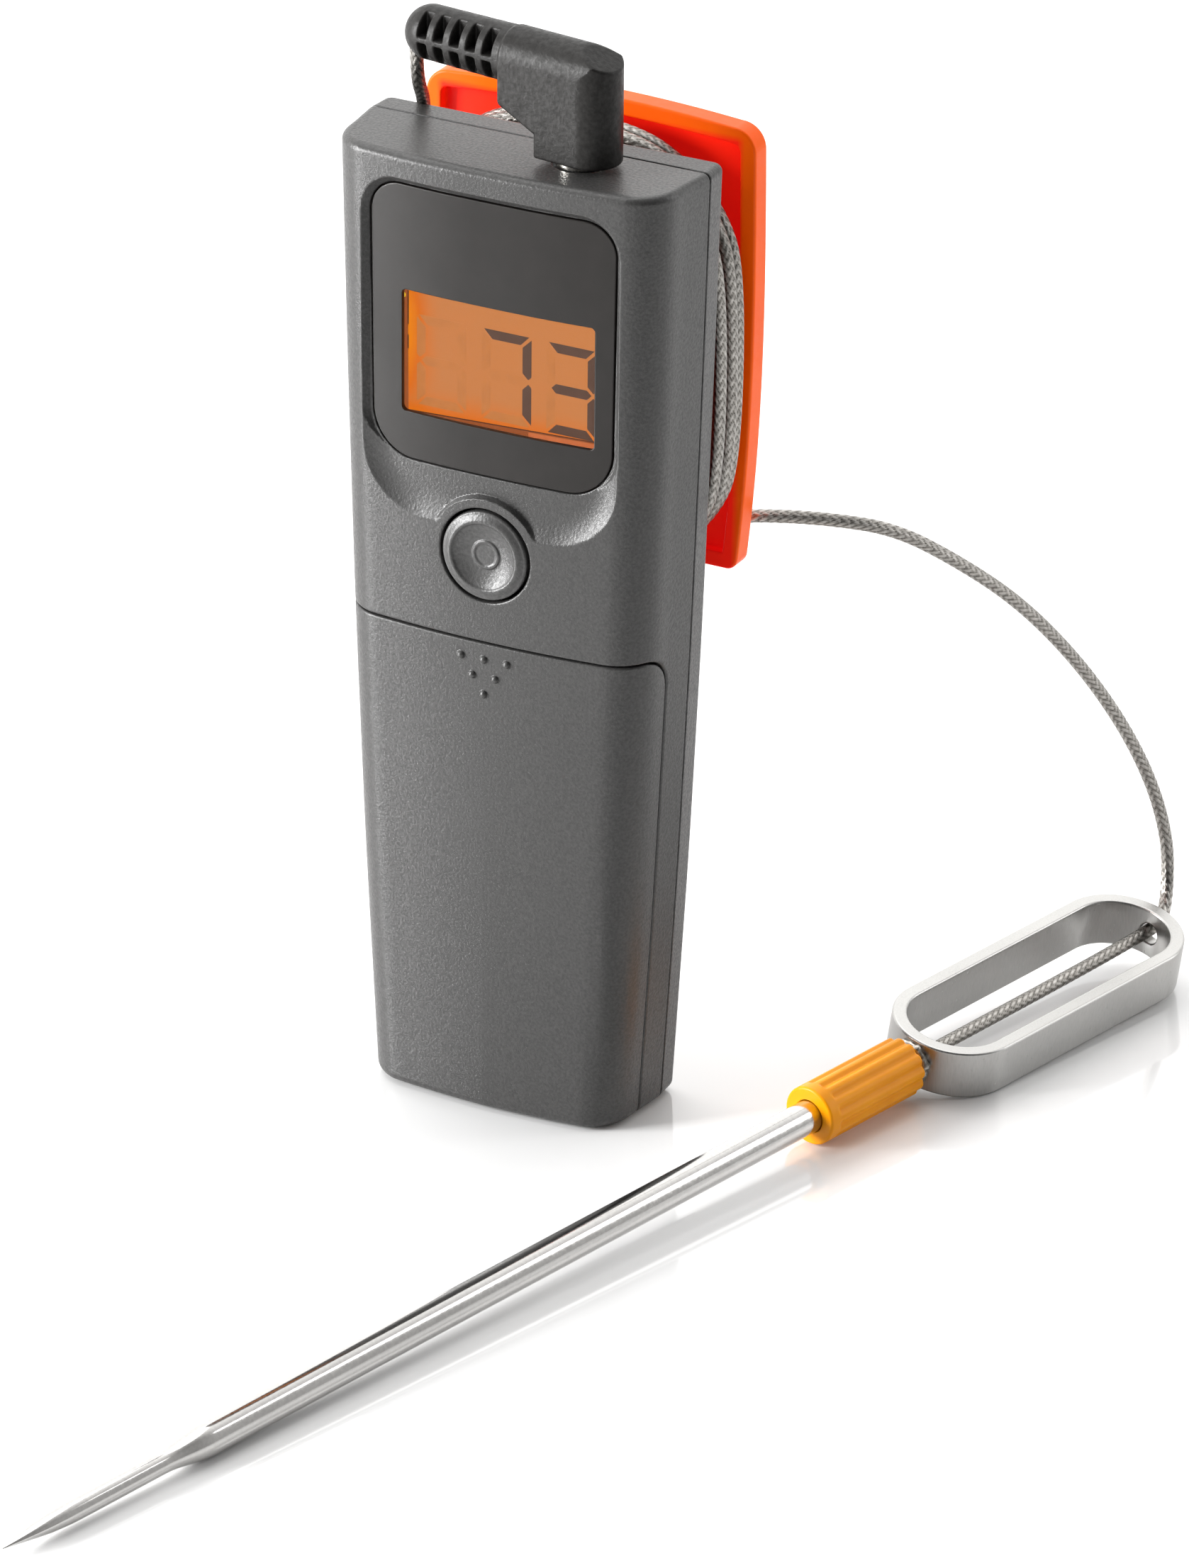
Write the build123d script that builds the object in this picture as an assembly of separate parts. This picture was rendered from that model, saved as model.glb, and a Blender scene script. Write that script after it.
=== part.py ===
# Digital probe thermometer: hand-held display unit with a cord spool on its
# back, a right-angle plug in its top and a corded stainless probe lying beside it.
# Millimetres. +Z up, +X to the right seen from the display side, -Y towards the
# viewer of the display. Origin at the middle of the unit's base, on the table.
from build123d import *
from math import sin, cos, tan, radians, degrees, sqrt, pi, atan2
import os

os.makedirs("parts", exist_ok=True)

# ------------------------------------------------------------------ dimensions
# display unit
BODY_H = 119.0            # height of the casing
HALF_W = [(0.0, 17.45), (30.0, 19.2), (60.0, 20.5), (90.0, 21.45), (119.0, 22.15)]  # half width at the parting seam
Y_FRONT = -8.3            # crown of the front face
Y_SEAM = 4.1              # parting plane of front and back shells
Y_BACK = 8.3              # flat back face
CROWN_DROP = 0.75         # how far the front face falls away towards its rounded edges
SEAM_GAP = 0.15
WALL = 1.6                # side walls
FRONT_WALL = 2.4          # front wall, which carries the window
TOP_CH, BOT_CH = 0.8, 1.0 # edge breaks at the top and the base
# battery door
DOOR_Z = 60.9             # its top seam
DOOR_Y = -0.4             # its rear edge on each side wall
DOOR_GAP = 0.2
DOOR_WALL = 1.5
DOOR_CORNER = 4.2
DOT_PITCH_X, DOT_PITCH_Z, DOT_Z, DOT_D = 3.0, 2.2, 58.7, 0.9
# window and display
WIN_W, WIN_Z0, WIN_Z1 = 31.8, 81.4, 115.1
WIN_R = 4.6
WIN_SINK = 0.95           # window face below the front face
WIN_T = 0.8
LCD_W, LCD_H, LCD_Z = 28.0, 19.0, 95.0
VIEW_W, VIEW_H = 25.4, 15.6
CROWN_R = 164.0
# button
BTN_Z, BTN_R, BTN_GAP, BTN_PROUD = 71.8, 5.5, 0.3, 0.5
BTN_TRAVEL = 0.6
COLLAR_R = 7.0
# jack and plug
JACK_X, JACK_Y = 7.7, 0.0
PLUG_TURN = -8.0          # the cord end of the plug points a little backwards
PLUG_T = 7.0              # thickness of the moulded block
PLUG_Z0 = 119.6
PLUG_ARM_Z = 130.0
PLUG_ARM_END = -9.4
STRAIN_R, STRAIN_END = 3.35, -21.1
JACK_D, JACK_L = 2.5, 11.0
# cord spool
SPOOL_Z = 91.5
HUB_W, HUB_H, HUB_R = 36.6, 47.6, 15.0
COIL_W, COIL_H, COIL_R = 43.6, 54.6, 18.5
COIL_Y0, COIL_Y1 = 8.9, 15.9
FLANGE_Y0, FLANGE_FLOOR, FLANGE_Y1 = 16.6, 18.1, 19.6
FLANGE_Z0, FLANGE_Z1 = 64.5, 120.2
FLANGE_RIM = 2.0
# cord
CORD_D = 1.6
# probe
PROBE_AT = (37.9, 2.5, 3.75)    # end of the sleeve nearest the tip, on the shaft's axis
PROBE_PLAN = 75.5               # direction from tip to loop, in plan
PROBE_RISE = 1.09
PROBE_ROLL = 9.7                # the loop lies on one long side
SHAFT_D, TIP_D = 4.0, 2.5
SLEEVE_L, SLEEVE_D, SLEEVE_BORE = 17.0, 7.4, 4.1
LOOP_GAP, LOOP_L, LOOP_W, LOOP_H, LOOP_T = 1.5, 46.4, 15.7, 6.3, 1.8
SHAFT_L, NECK_START, NECK_END, POINT_L = 131.9, 101.0, 107.3, 10.6
HOLE_D = 2.7


def half_w(z):
    for (z0, w0), (z1, w1) in zip(HALF_W, HALF_W[1:]):
        if z <= z1:
            return w0 + (w1 - w0) * (z - z0) / (z1 - z0)
    return HALF_W[-1][1]


def front_wire(z, side=0.0, front=0.0, y_back=Y_SEAM):
    """Plan outline of the front shell at height z, moved in by side and front."""
    w = half_w(z)
    a = (w - side, y_back, z)
    b = (w - 0.65 - side, -1.4, z)
    m = (w - 2.24 - 0.78 * side, -5.8 + 0.62 * front, z)
    c = (w - 6.5 - 0.35 * side, Y_FRONT + CROWN_DROP + front, z)
    flip = lambda p: (-p[0], p[1], p[2])
    edges = [Line(a, b), ThreePointArc(b, m, c), ThreePointArc(c, (0, Y_FRONT + front, z), flip(c)),
             ThreePointArc(flip(c), flip(m), flip(b)), Line(flip(b), flip(a)), Line(flip(a), a)]
    return Wire(edges)


def back_wire(z, inset=0.0, y0=Y_SEAM + SEAM_GAP):
    w = half_w(z)
    r = 1.3
    a = (w - inset, y0, z)
    b = (w - 0.15 - inset, Y_BACK - r, z)
    m = (w - 0.15 - r + r * 0.7071 - inset * 0.9, Y_BACK - r + r * 0.7071 - inset * 0.9, z)
    c = (w - 0.15 - r - inset * 0.9, Y_BACK - inset, z)
    flip = lambda p: (-p[0], p[1], p[2])
    if inset:
        b = (b[0], Y_BACK - r - inset * 0.4, z)
    edges = [Line(a, b), ThreePointArc(b, m, c), Line(c, flip(c)), ThreePointArc(flip(c), flip(m), flip(b)),
             Line(flip(b), flip(a)), Line(flip(a), a)]
    return Wire(edges)


def stack(make, rows):
    return Solid.make_loft([make(*r) for r in rows], ruled=True)


def box(x0, x1, y0, y1, z0, z1):
    return Pos((x0 + x1) / 2, (y0 + y1) / 2, (z0 + z1) / 2) * Box(x1 - x0, y1 - y0, z1 - z0)


def rod_y(x, z, r, y0, y1):
    return Pos(x, (y0 + y1) / 2, z) * Rot(90, 0, 0) * Cylinder(r, y1 - y0)


def rod_z(x, y, r, z0, z1):
    return Pos(x, y, (z0 + z1) / 2) * Cylinder(r, z1 - z0)


def slab_xz(sketch, y0, y1):
    """Extrude a sketch drawn as (x, z) from y0 to y1."""
    pl = Plane(origin=(0, y1, 0), x_dir=(1, 0, 0), z_dir=(0, -1, 0))
    return extrude(pl * sketch, amount=y1 - y0)


def crown_slab(d0, d1, z0, z1):
    """Space between two surfaces d0 and d1 behind the crowned front face."""
    cy = Y_FRONT + CROWN_R
    outer = rod_z(0, cy, CROWN_R - d0, z0, z1)
    inner = rod_z(0, cy, CROWN_R - d1, z0 - 1, z1 + 1)
    return (outer - inner) & box(-30, 30, Y_FRONT - 2, 10, z0 - 1, z1 + 1)


def one(shape):
    s = shape.solids()
    assert len(s) == 1, len(s)
    return s[0]


parts = {}

# ------------------------------------------------------------------ casing
outer_front = stack(front_wire, [(0, BOT_CH, BOT_CH), (BOT_CH, 0, 0), (30, 0, 0), (60, 0, 0), (90, 0, 0),
                                 (BODY_H - TOP_CH, 0, 0), (BODY_H, TOP_CH, TOP_CH)])
upper_cavity = stack(lambda z: front_wire(z, WALL, FRONT_WALL, Y_SEAM + 1), [(DOOR_Z + 1.2,), (90,), (BODY_H - 1.6,)])
lower_cavity = stack(lambda z: front_wire(z, WALL, WALL, Y_SEAM + 1), [(1.6,), (30,), (DOOR_Z,)]) & box(-30, 30, 0.8, 10, 0, 70)

door_cut = box(-40, 40, -30, DOOR_Y, -5, DOOR_Z)
door_cut = fillet(door_cut.edges().filter_by(Axis.X).sort_by(lambda e: -(e.center().Y + e.center().Z))[:1], DOOR_CORNER)

front = outer_front - upper_cavity - lower_cavity - door_cut
# battery tray moulded into the deck behind the door
TRAY_X, TRAY_Z0, TRAY_Z1, TRAY_Y = 12.3, 4.2, 57.0, 4.6
tray = box(-TRAY_X - 1.2, TRAY_X + 1.2, 0.0, TRAY_Y + 1.2, TRAY_Z0 - 1.2, TRAY_Z1 + 1.2)
front = front + tray - box(-TRAY_X, TRAY_X, -5, TRAY_Y, TRAY_Z0, TRAY_Z1)
# screw bosses
SCREWS_TOP = [(17.0, 112.3), (16.8, 70.5)]
SCREWS_LOW = [(15.7, 9.0)]
for x, z in SCREWS_TOP:
    for s in (-1, 1):
        front = front + rod_y(s * x, z, 2.2, -6.4, Y_SEAM)
for x, z in SCREWS_LOW:
    for s in (-1, 1):
        front = front + rod_y(s * x, z, 1.9, 0.2, Y_SEAM)
front = front & (outer_front + box(-TRAY_X - 1.2, TRAY_X + 1.2, 0.0, TRAY_Y + 1.2, 2, 60))
# window pocket and its opening
win_zc, win_h = (WIN_Z0 + WIN_Z1) / 2, WIN_Z1 - WIN_Z0
pocket = slab_xz(Pos(0, win_zc) * RectangleRounded(WIN_W + 0.2, win_h + 0.2, WIN_R), -12, 0) & crown_slab(-3, WIN_SINK + WIN_T, 60, BODY_H)
front = front - pocket
front = front - box(-13.4, 13.4, -9, -3, LCD_Z - 8.6, LCD_Z + 8.6)
# scooped relief below the window, interrupted by the collar round the button
scoop_face = Polyline((Y_FRONT - 3, 74.9), (Y_FRONT, 74.9), (Y_FRONT + WIN_SINK, 81.0), (Y_FRONT + WIN_SINK, 86.0), (Y_FRONT - 3, 86.0), close=True)
scoop = extrude(Plane.YZ.offset(-30) * make_face(scoop_face), amount=60)
scoop = scoop & slab_xz(Pos(0, 90.9) * RectangleRounded(32.2, 32.0, 8.0), -12, 0)
scoop = scoop - rod_y(0, BTN_Z, COLLAR_R, -20, 5)
front = front - scoop
# button hole, jack hole
front = front - rod_y(0, BTN_Z, BTN_R + BTN_GAP, -20, 5 - 8)
front = front - rod_z(JACK_X, JACK_Y, 1.6, 110, 130)
for x, z in SCREWS_TOP:
    for s in (-1, 1):
        front = front - rod_y(s * x, z, 1.1, -4.5, 10)
for x, z in SCREWS_LOW:
    for s in (-1, 1):
        front = front - rod_y(s * x, z, 1.1, 1.0, 10)
parts["front_shell"] = one(front)

back = stack(back_wire, [(0, BOT_CH), (BOT_CH, 0), (30, 0), (60, 0), (90, 0), (BODY_H - TOP_CH, 0), (BODY_H, TOP_CH)])
back_cav = stack(lambda z: back_wire(z, 1.5, Y_SEAM - 1), [(1.6,), (30,), (60,), (90,), (BODY_H - 1.6,)])
back = back - back_cav
for x, z in SCREWS_TOP:
    for s in (-1, 1):
        back = back + rod_y(s * x, z, 2.6, Y_SEAM + SEAM_GAP, Y_BACK - 0.5) - rod_y(s * x, z, 1.25, 0, 12) - rod_y(s * x, z, 2.1, Y_BACK - 1.6, 12)
for x, z in SCREWS_LOW:
    for s in (-1, 1):
        back = back + rod_y(s * x, z, 2.0, Y_SEAM + SEAM_GAP, Y_BACK - 0.5) - rod_y(s * x, z, 1.25, 0, 12) - rod_y(s * x, z, 2.1, Y_BACK - 1.6, 12)
# two clearance holes for the screws that hold the spool hub, driven from inside
HUB_SCREWS = [(0.0, SPOOL_Z - 12.0), (0.0, SPOOL_Z + 12.0)]
for x, z in HUB_SCREWS:
    back = back - rod_y(x, z, 1.25, 0, 12)
parts["back_shell"] = one(back)

# ------------------------------------------------------------------ battery door
door_in = stack(lambda z: front_wire(z, DOOR_WALL, DOOR_WALL, Y_SEAM), [(1.5,), (30,), (60,), (64,)])
door_tool = box(-40, 40, -30, DOOR_Y - DOOR_GAP, -5, DOOR_Z - DOOR_GAP)
door_tool = fillet(door_tool.edges().filter_by(Axis.X).sort_by(lambda e: -(e.center().Y + e.center().Z))[:1], DOOR_CORNER)
door = (outer_front & door_tool) - door_in
for row in range(3):
    n = 3 - row
    for i in range(n):
        x = (i - (n - 1) / 2) * DOT_PITCH_X
        door = door - rod_y(x, DOT_Z - row * DOT_PITCH_Z, DOT_D / 2, -12, Y_FRONT + 0.25)
parts["battery_door"] = one(door)

# ------------------------------------------------------------------ window, display, electronics
window = slab_xz(Pos(0, win_zc) * RectangleRounded(WIN_W, win_h, WIN_R), -12, 0) & crown_slab(WIN_SINK, WIN_SINK + WIN_T - 0.02, 60, BODY_H)
parts["display_window"] = one(window)
parts["lcd_panel"] = one(box(-LCD_W / 2, LCD_W / 2, -5.15, -3.6, LCD_Z - LCD_H / 2, LCD_Z + LCD_H / 2))
parts["light_guide"] = one(box(-13.0, 13.0, -3.55, -1.9, LCD_Z - 9.0, LCD_Z + 9.0))
parts["backlight_led"] = one(box(-14.4, -13.05, -3.5, -2.2, LCD_Z - 1.4, LCD_Z + 1.4))
holder = box(-14.6, 14.6, -3.55, 3.05, LCD_Z - 11.0, LCD_Z + 9.3) - box(-13.05, 13.05, -5, -1.85, LCD_Z - 9.05, LCD_Z + 9.05) \
    - box(-14.45, -13.0, -5, -2.15, LCD_Z - 1.45, LCD_Z + 1.45) - box(-12.0, 12.0, -2, 4, LCD_Z - 7.5, LCD_Z + 7.8) \
    - box(-12.6, 12.6, -5, 4, LCD_Z - 10.6, LCD_Z - 9.15)
parts["lcd_holder"] = one(holder)
parts["zebra_strip"] = one(box(-12.5, 12.5, -3.58, 3.08, LCD_Z - 10.5, LCD_Z - 9.2))
pcb = box(-14.0, 14.0, 3.1, 4.3, 63.0, 116.5)
parts["circuit_board"] = one(pcb)
tact = box(-3.0, 3.0, -0.4, 3.1, BTN_Z - 3.0, BTN_Z + 3.0) + rod_y(0, BTN_Z, 1.75, -4.35, 0)
parts["tact_switch"] = one(tact)
socket = box(JACK_X - 3.5, JACK_X + 3.5, -2.9, 3.1, 105.0, BODY_H - 1.65) - rod_z(JACK_X, JACK_Y, 1.3, 107.4, 125)
parts["jack_socket"] = one(socket)

# ------------------------------------------------------------------ button
cap = rod_y(0, BTN_Z, BTN_R, Y_FRONT - BTN_PROUD, -5.4)
cap = chamfer(cap.edges().filter_by(GeomType.CIRCLE).sort_by(Axis.Y)[:1], 0.35)
cap = cap + rod_y(0, BTN_Z, 6.5, -5.6, -5.05)
dish_r = 24.0
cap = cap - (Pos(0, Y_FRONT - BTN_PROUD + 0.45 - dish_r, BTN_Z) * Sphere(dish_r))
ring = rod_y(0, BTN_Z, 1.9, Y_FRONT - BTN_PROUD + 0.25, Y_FRONT - BTN_PROUD + 1.2)
cap = cap + ring
parts["button_cap"] = one(cap)

# ------------------------------------------------------------------ power
for name, s in (("battery_cell_left", -1), ("battery_cell_right", 1)):
    up = s < 0
    z0, z1 = (9.2, 52.7) if up else (10.2, 53.7)
    cell = rod_z(s * 5.6, -1.0, 5.2, z0, z1)
    cell = cell + (rod_z(s * 5.6, -1.0, 1.9, z1 - 0.2, z1 + 1.0) if up else rod_z(s * 5.6, -1.0, 1.9, z0 - 1.0, z0 + 0.2))
    parts[name] = one(cell)


def cone_spring(x, z0, z1, r0, r1):
    lo, hi = Pos(0, 0, z0) * Circle(r0), Pos(0, 0, z1) * Circle(r1)
    li, hj = Pos(0, 0, z0) * Circle(r0 - 0.7), Pos(0, 0, z1) * Circle(r1 - 0.7)
    return Pos(x, -1.0, 0) * (loft([lo, hi]) - loft([li, hj]))


contact_low = box(-10.5, 10.5, -5.0, 3.4, TRAY_Z0, TRAY_Z0 + 0.4) + cone_spring(-5.6, TRAY_Z0 + 0.4, 9.15, 3.8, 2.2) \
    + rod_z(5.6, -1.0, 2.2, TRAY_Z0 + 0.3, 9.15)
parts["contact_bridge"] = one(contact_low)
parts["contact_positive"] = one(box(-10.2, -1.2, -5.0, 3.4, TRAY_Z1 - 0.4, TRAY_Z1) + rod_z(-5.6, -1.0, 2.2, 53.75, TRAY_Z1 - 0.3))
parts["contact_negative"] = one(box(1.2, 10.2, -5.0, 3.4, TRAY_Z1 - 0.4, TRAY_Z1) + cone_spring(5.6, 53.75, TRAY_Z1 - 0.4, 2.2, 3.4))

# ------------------------------------------------------------------ case screws
def screw(x, z, y_head, head_t, tip, r=1.05, rh=1.95):
    s = rod_y(x, z, rh, y_head - head_t, y_head) + rod_y(x, z, r, tip, y_head - head_t + 0.01)
    cross = box(x - 1.1, x + 1.1, y_head - 0.7, y_head + 1, z - 0.25, z + 0.25) + box(x - 0.25, x + 0.25, y_head - 0.7, y_head + 1, z - 1.1, z + 1.1)
    return s - cross


case_screws = [one(screw(s * x, z, Y_BACK - 0.1, 1.45, -3.9)) for x, z in SCREWS_TOP for s in (-1, 1)]
case_screws += [one(screw(s * x, z, Y_BACK - 0.1, 1.45, 1.4)) for x, z in SCREWS_LOW for s in (-1, 1)]
parts["case_screws"] = Compound(children=case_screws)

# ------------------------------------------------------------------ spool
hub = slab_xz(Pos(0, SPOOL_Z) * RectangleRounded(HUB_W, HUB_H, HUB_R), Y_BACK, FLANGE_FLOOR)
hub = hub - slab_xz(Pos(0, SPOOL_Z) * RectangleRounded(HUB_W - 3.6, HUB_H - 3.6, HUB_R - 1.8), Y_BACK - 1, FLANGE_FLOOR - 1.6)
for x, z in HUB_SCREWS:
    hub = hub + rod_y(x, z, 2.4, Y_BACK, FLANGE_FLOOR - 1.0)
for x, z in HUB_SCREWS:
    hub = hub - rod_y(x, z, 1.0, Y_BACK - 1, FLANGE_FLOOR - 2.2)
FLANGE_SCREWS = [(0.0, SPOOL_Z - 6.0), (0.0, SPOOL_Z + 6.0)]
for x, z in FLANGE_SCREWS:
    hub = hub + rod_y(x, z, 2.4, 11.0, FLANGE_FLOOR - 1.0)
for x, z in FLANGE_SCREWS:
    hub = hub - rod_y(x, z, 1.1, 12.0, FLANGE_FLOOR + 1)
parts["spool_hub"] = one(hub)
parts["hub_screws"] = Compound(children=[one(rod_y(x, z, 2.0, Y_BACK - 2.6, Y_BACK - 1.5) + rod_y(x, z, 0.95, Y_BACK - 1.6, 15.0)) for x, z in HUB_SCREWS])


def flange_outline(d=0.0):
    zt, zb = FLANGE_Z1 - d, FLANGE_Z0 + d
    r = max(3.0 - d * 0.7, 0.8)
    rb = max(1.3 - d * 0.4, 0.5)
    top = ThreePointArc((-18.4 + d, zt - 0.5), (0, zt + 0.3), (18.4 - d, zt - 0.5))
    pts_r = [(21.5 - d, zt - 3.6), (21.65 - d, 97.0), (21.45 - d, 87.0), (20.6 - d, 72.0), (20.0 - d, zb + 1.4)]
    side_r = Spline(*pts_r)
    side_l = Spline(*[(-x, z) for x, z in reversed(pts_r)])
    c1 = ThreePointArc((18.4 - d, zt - 0.5), (20.7 - d, zt - 1.45), (21.5 - d, zt - 3.6))
    c2 = ThreePointArc((-21.5 + d, zt - 3.6), (-20.7 + d, zt - 1.45), (-18.4 + d, zt - 0.5))
    b1 = ThreePointArc((20.0 - d, zb + 1.4), (19.55 - d, zb + 0.4), (18.6 - d, zb))
    b2 = ThreePointArc((-18.6 + d, zb), (-19.55 + d, zb + 0.4), (-20.0 + d, zb + 1.4))
    bot = Line((18.6 - d, zb), (-18.6 + d, zb))
    return make_face(Wire([top, c1, side_r, b1, bot, b2, side_l, c2]))


flange = slab_xz(flange_outline(0), FLANGE_Y0, FLANGE_Y1) - slab_xz(flange_outline(FLANGE_RIM), FLANGE_Y0 - 1, FLANGE_FLOOR)
# slot in the lower edge that lets the cord through to the rear
flange = flange - slab_xz(Pos(2.0, FLANGE_Z0 + 0.4) * RectangleRounded(20.0, 7.2, 2.0), FLANGE_Y0 - 1, FLANGE_Y1 + 1)
for x, z in FLANGE_SCREWS:
    flange = flange - rod_y(x, z, 1.3, 10, 30) - rod_y(x, z, 2.2, FLANGE_Y1 - 0.9, 30)
parts["spool_flange"] = one(flange)
parts["flange_screws"] = Compound(children=[one(screw(x, z, FLANGE_Y1 - 0.15, 0.7, 12.4, 1.0, 2.0)) for x, z in FLANGE_SCREWS])

# ------------------------------------------------------------------ plug
plug_frame = Pos(JACK_X, JACK_Y, 0) * Rot(0, 0, PLUG_TURN)
t2 = PLUG_T / 2
tv = t2 - 0.02            # the upright stem is a hair slimmer than the arm
arm_profile = make_face(Wire([Line((-t2, 124.9), (-t2, PLUG_ARM_Z)), ThreePointArc((-t2, PLUG_ARM_Z), (0, PLUG_ARM_Z + t2), (t2, PLUG_ARM_Z)),
                              Line((t2, PLUG_ARM_Z), (t2, 124.9)), Line((t2, 124.9), (-t2, 124.9))]))
blk = extrude(Plane.YZ.offset(PLUG_ARM_END) * arm_profile, amount=3.0 - PLUG_ARM_END)
blk = blk + rod_z(1.6, 0, tv, PLUG_Z0, PLUG_ARM_Z + 3.2) + box(-4.26, 1.6, -tv, tv, PLUG_Z0, 125.4)
web = Polyline((PLUG_ARM_END, 124.9), (-4.26, 122.4), (-3.0, 122.4), (-3.0, 126), (PLUG_ARM_END, 126), close=True)
blk = blk + extrude(Plane.XZ.offset(-tv) * make_face(web), amount=2 * tv)
facet = Pos(5.1, 0, 131.2) * Rot(0, 27.0, 0) * Pos(0, 0, 10) * Box(40, 20, 20)
blk = blk - facet
x_in = PLUG_ARM_END + 0.4
dome = make_face(Wire([Line((x_in, 0), (STRAIN_END - STRAIN_R, 0)),
                       ThreePointArc((STRAIN_END - STRAIN_R, 0), (STRAIN_END - STRAIN_R * cos(pi / 4), STRAIN_R * sin(pi / 4)), (STRAIN_END, STRAIN_R)),
                       Line((STRAIN_END, STRAIN_R), (x_in, STRAIN_R)), Line((x_in, STRAIN_R), (x_in, 0))]))
strain = Pos(0, 0, PLUG_ARM_Z) * revolve(dome, Axis.X)
for i in range(5):
    xs = PLUG_ARM_END - 1.6 - 2.3 * i
    for s in (-1, 1):
        for zz in (-1, 1):
            strain = strain - Pos(xs, s * 2.9, PLUG_ARM_Z + zz * 2.05) * Box(1.15, 2.6, 3.3)
plug = blk + strain
plug = plug_frame * plug
lead_start = Vector(-15.3, 3.2, 127.3)
plug = plug - rod_z(lead_start.X, lead_start.Y, CORD_D / 2, 120, 127.9 + 0.3)
parts["plug_body"] = one(plug)
parts["plug_collar"] = one(rod_z(JACK_X, JACK_Y, 2.9, BODY_H + 0.05, PLUG_Z0) + rod_z(JACK_X, JACK_Y, 1.25, 112.2, BODY_H + 0.1))
parts["plug_insulator"] = one(rod_z(JACK_X, JACK_Y, 1.2, 111.4, 112.2))
tip = rod_z(JACK_X, JACK_Y, 1.25, 109.4, 111.4)
tip = tip + Pos(JACK_X, JACK_Y, 0) * (loft([Pos(0, 0, 108.0) * Circle(0.45), Pos(0, 0, 109.4) * Circle(1.25)]))
parts["plug_tip"] = one(tip)

# ------------------------------------------------------------------ cord
def corner_radii(pts):
    out = []
    for a, b, c in zip(pts, pts[1:], pts[2:]):
        u, v = Vector(*b) - Vector(*a), Vector(*c) - Vector(*b)
        turn = radians(u.get_angle(v))
        out.append(0.45 * min(u.length, v.length) / tan(turn / 2))
    return out


def tube(pts, label):
    radii = corner_radii(pts)
    path = FilletPolyline(*pts, radius=radii)
    start = Plane(origin=path @ 0, z_dir=path % 0)
    solid = sweep(start * Circle(CORD_D / 2), path=path)
    length = path.length
    print(label, "length", round(length, 1), "radii", [round(r, 1) for r in radii],
          "volume ratio", round(solid.volume / (pi * CORD_D ** 2 / 4 * length), 4))
    return one(solid)


lead_pts = [(lead_start.X, lead_start.Y, 127.6), (-15.45, 3.5, 125.2), (-16.0, 5.0, 122.4), (-16.9, 7.6, 120.0), (-17.9, 9.7, 117.2), (-18.7, 10.3, 114.0), (-18.6, 10.8, 109.8)]
free_pts = [(-6.5, 15.95, 65.1), (-2.5, 17.2, 65.0), (2.6, 19.1, 65.4), (8.4, 20.6, 66.7), (14.4, 21.6, 68.3), (20.6, 23.4, 69.2), (26.9, 27.2, 68.6),
            (32.6, 33.0, 66.3), (37.4, 40.1, 60.5), (41.8, 48.4, 52.9), (45.6, 56.8, 43.0), (48.5, 64.3, 32.4), (50.9, 69.0, 22.8),
            (52.3, 71.2, 14.6), (52.9, 70.6, 9.0)]
# direction of the probe
pa, pr = radians(PROBE_PLAN), radians(PROBE_RISE)
LX = Vector(cos(pa) * cos(pr), sin(pa) * cos(pr), sin(pr))
LY0 = Vector(-sin(pa), cos(pa), 0)
LZ0 = LX.cross(LY0)
ro = radians(PROBE_ROLL)
LZ = LZ0 * cos(ro) - LY0 * sin(ro)
probe_plane = Plane(origin=PROBE_AT, x_dir=LX, z_dir=LZ)
loop_start = SLEEVE_L + LOOP_GAP
loop_end = loop_start + LOOP_L
hole = Vector(*PROBE_AT) + LX * (loop_end - LOOP_T / 2)
inner = Vector(*PROBE_AT) + LX * (loop_start + LOOP_T)
hp = Vector(*PROBE_AT) + LX * (loop_end + 1.6) + Vector(0, 0, 0.2)
print("hole", hole, "inner", inner)
free_pts += [(53.9, 67.6, 5.9), (hole.X, hole.Y, hole.Z)]
parts["probe_cord_lead"] = tube(lead_pts, "lead")
parts["probe_cord_free"] = tube(free_pts, "free")
straight = [(hole.X, hole.Y, hole.Z), (inner.X, inner.Y, inner.Z)]
e = Edge.make_line(straight[0], straight[1])
parts["probe_cord_end"] = one(sweep(Plane(origin=e @ 0, z_dir=e % 0) * Circle(CORD_D / 2), path=e))
coil = slab_xz(Pos(0, SPOOL_Z) * RectangleRounded(COIL_W, COIL_H, COIL_R), COIL_Y0, COIL_Y1) \
    - slab_xz(Pos(0, SPOOL_Z) * RectangleRounded(HUB_W + 0.1, HUB_H + 0.1, HUB_R), COIL_Y0 - 1, COIL_Y1 + 1)
parts["probe_cord_coil"] = one(coil)
parts["probe_cord_lead"] = one(parts["probe_cord_lead"] - coil)
parts["probe_cord_free"] = one(parts["probe_cord_free"] - coil)

# ------------------------------------------------------------------ probe
def along(x0, x1, r):
    return Pos((x0 + x1) / 2, 0, 0) * Rot(0, 90, 0) * Cylinder(r, x1 - x0)


yz = lambda x, r: Plane(origin=(x, 0, 0), z_dir=(1, 0, 0)) * Circle(r)
shaft = along(-NECK_START, loop_start + 0.05, SHAFT_D / 2)
shaft = shaft + loft([yz(-NECK_START, SHAFT_D / 2), yz(-NECK_END, TIP_D / 2)])
shaft = shaft + along(-(SHAFT_L - POINT_L), -NECK_END, TIP_D / 2)
shaft = shaft + loft([yz(-(SHAFT_L - POINT_L), TIP_D / 2), yz(-(SHAFT_L - 3.0), 0.62), yz(-SHAFT_L, 0.08)], ruled=True)
bore = along(-112.0, loop_start + 5, 0.9) 
shaft = shaft - bore
parts["probe_tube"] = one(probe_plane * shaft)
parts["thermistor"] = one(probe_plane * (along(-111.8, -108.0, 0.8)))
st = lambda l, w: SlotOverall(l, w)
loop_c = loop_start + LOOP_L / 2
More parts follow.
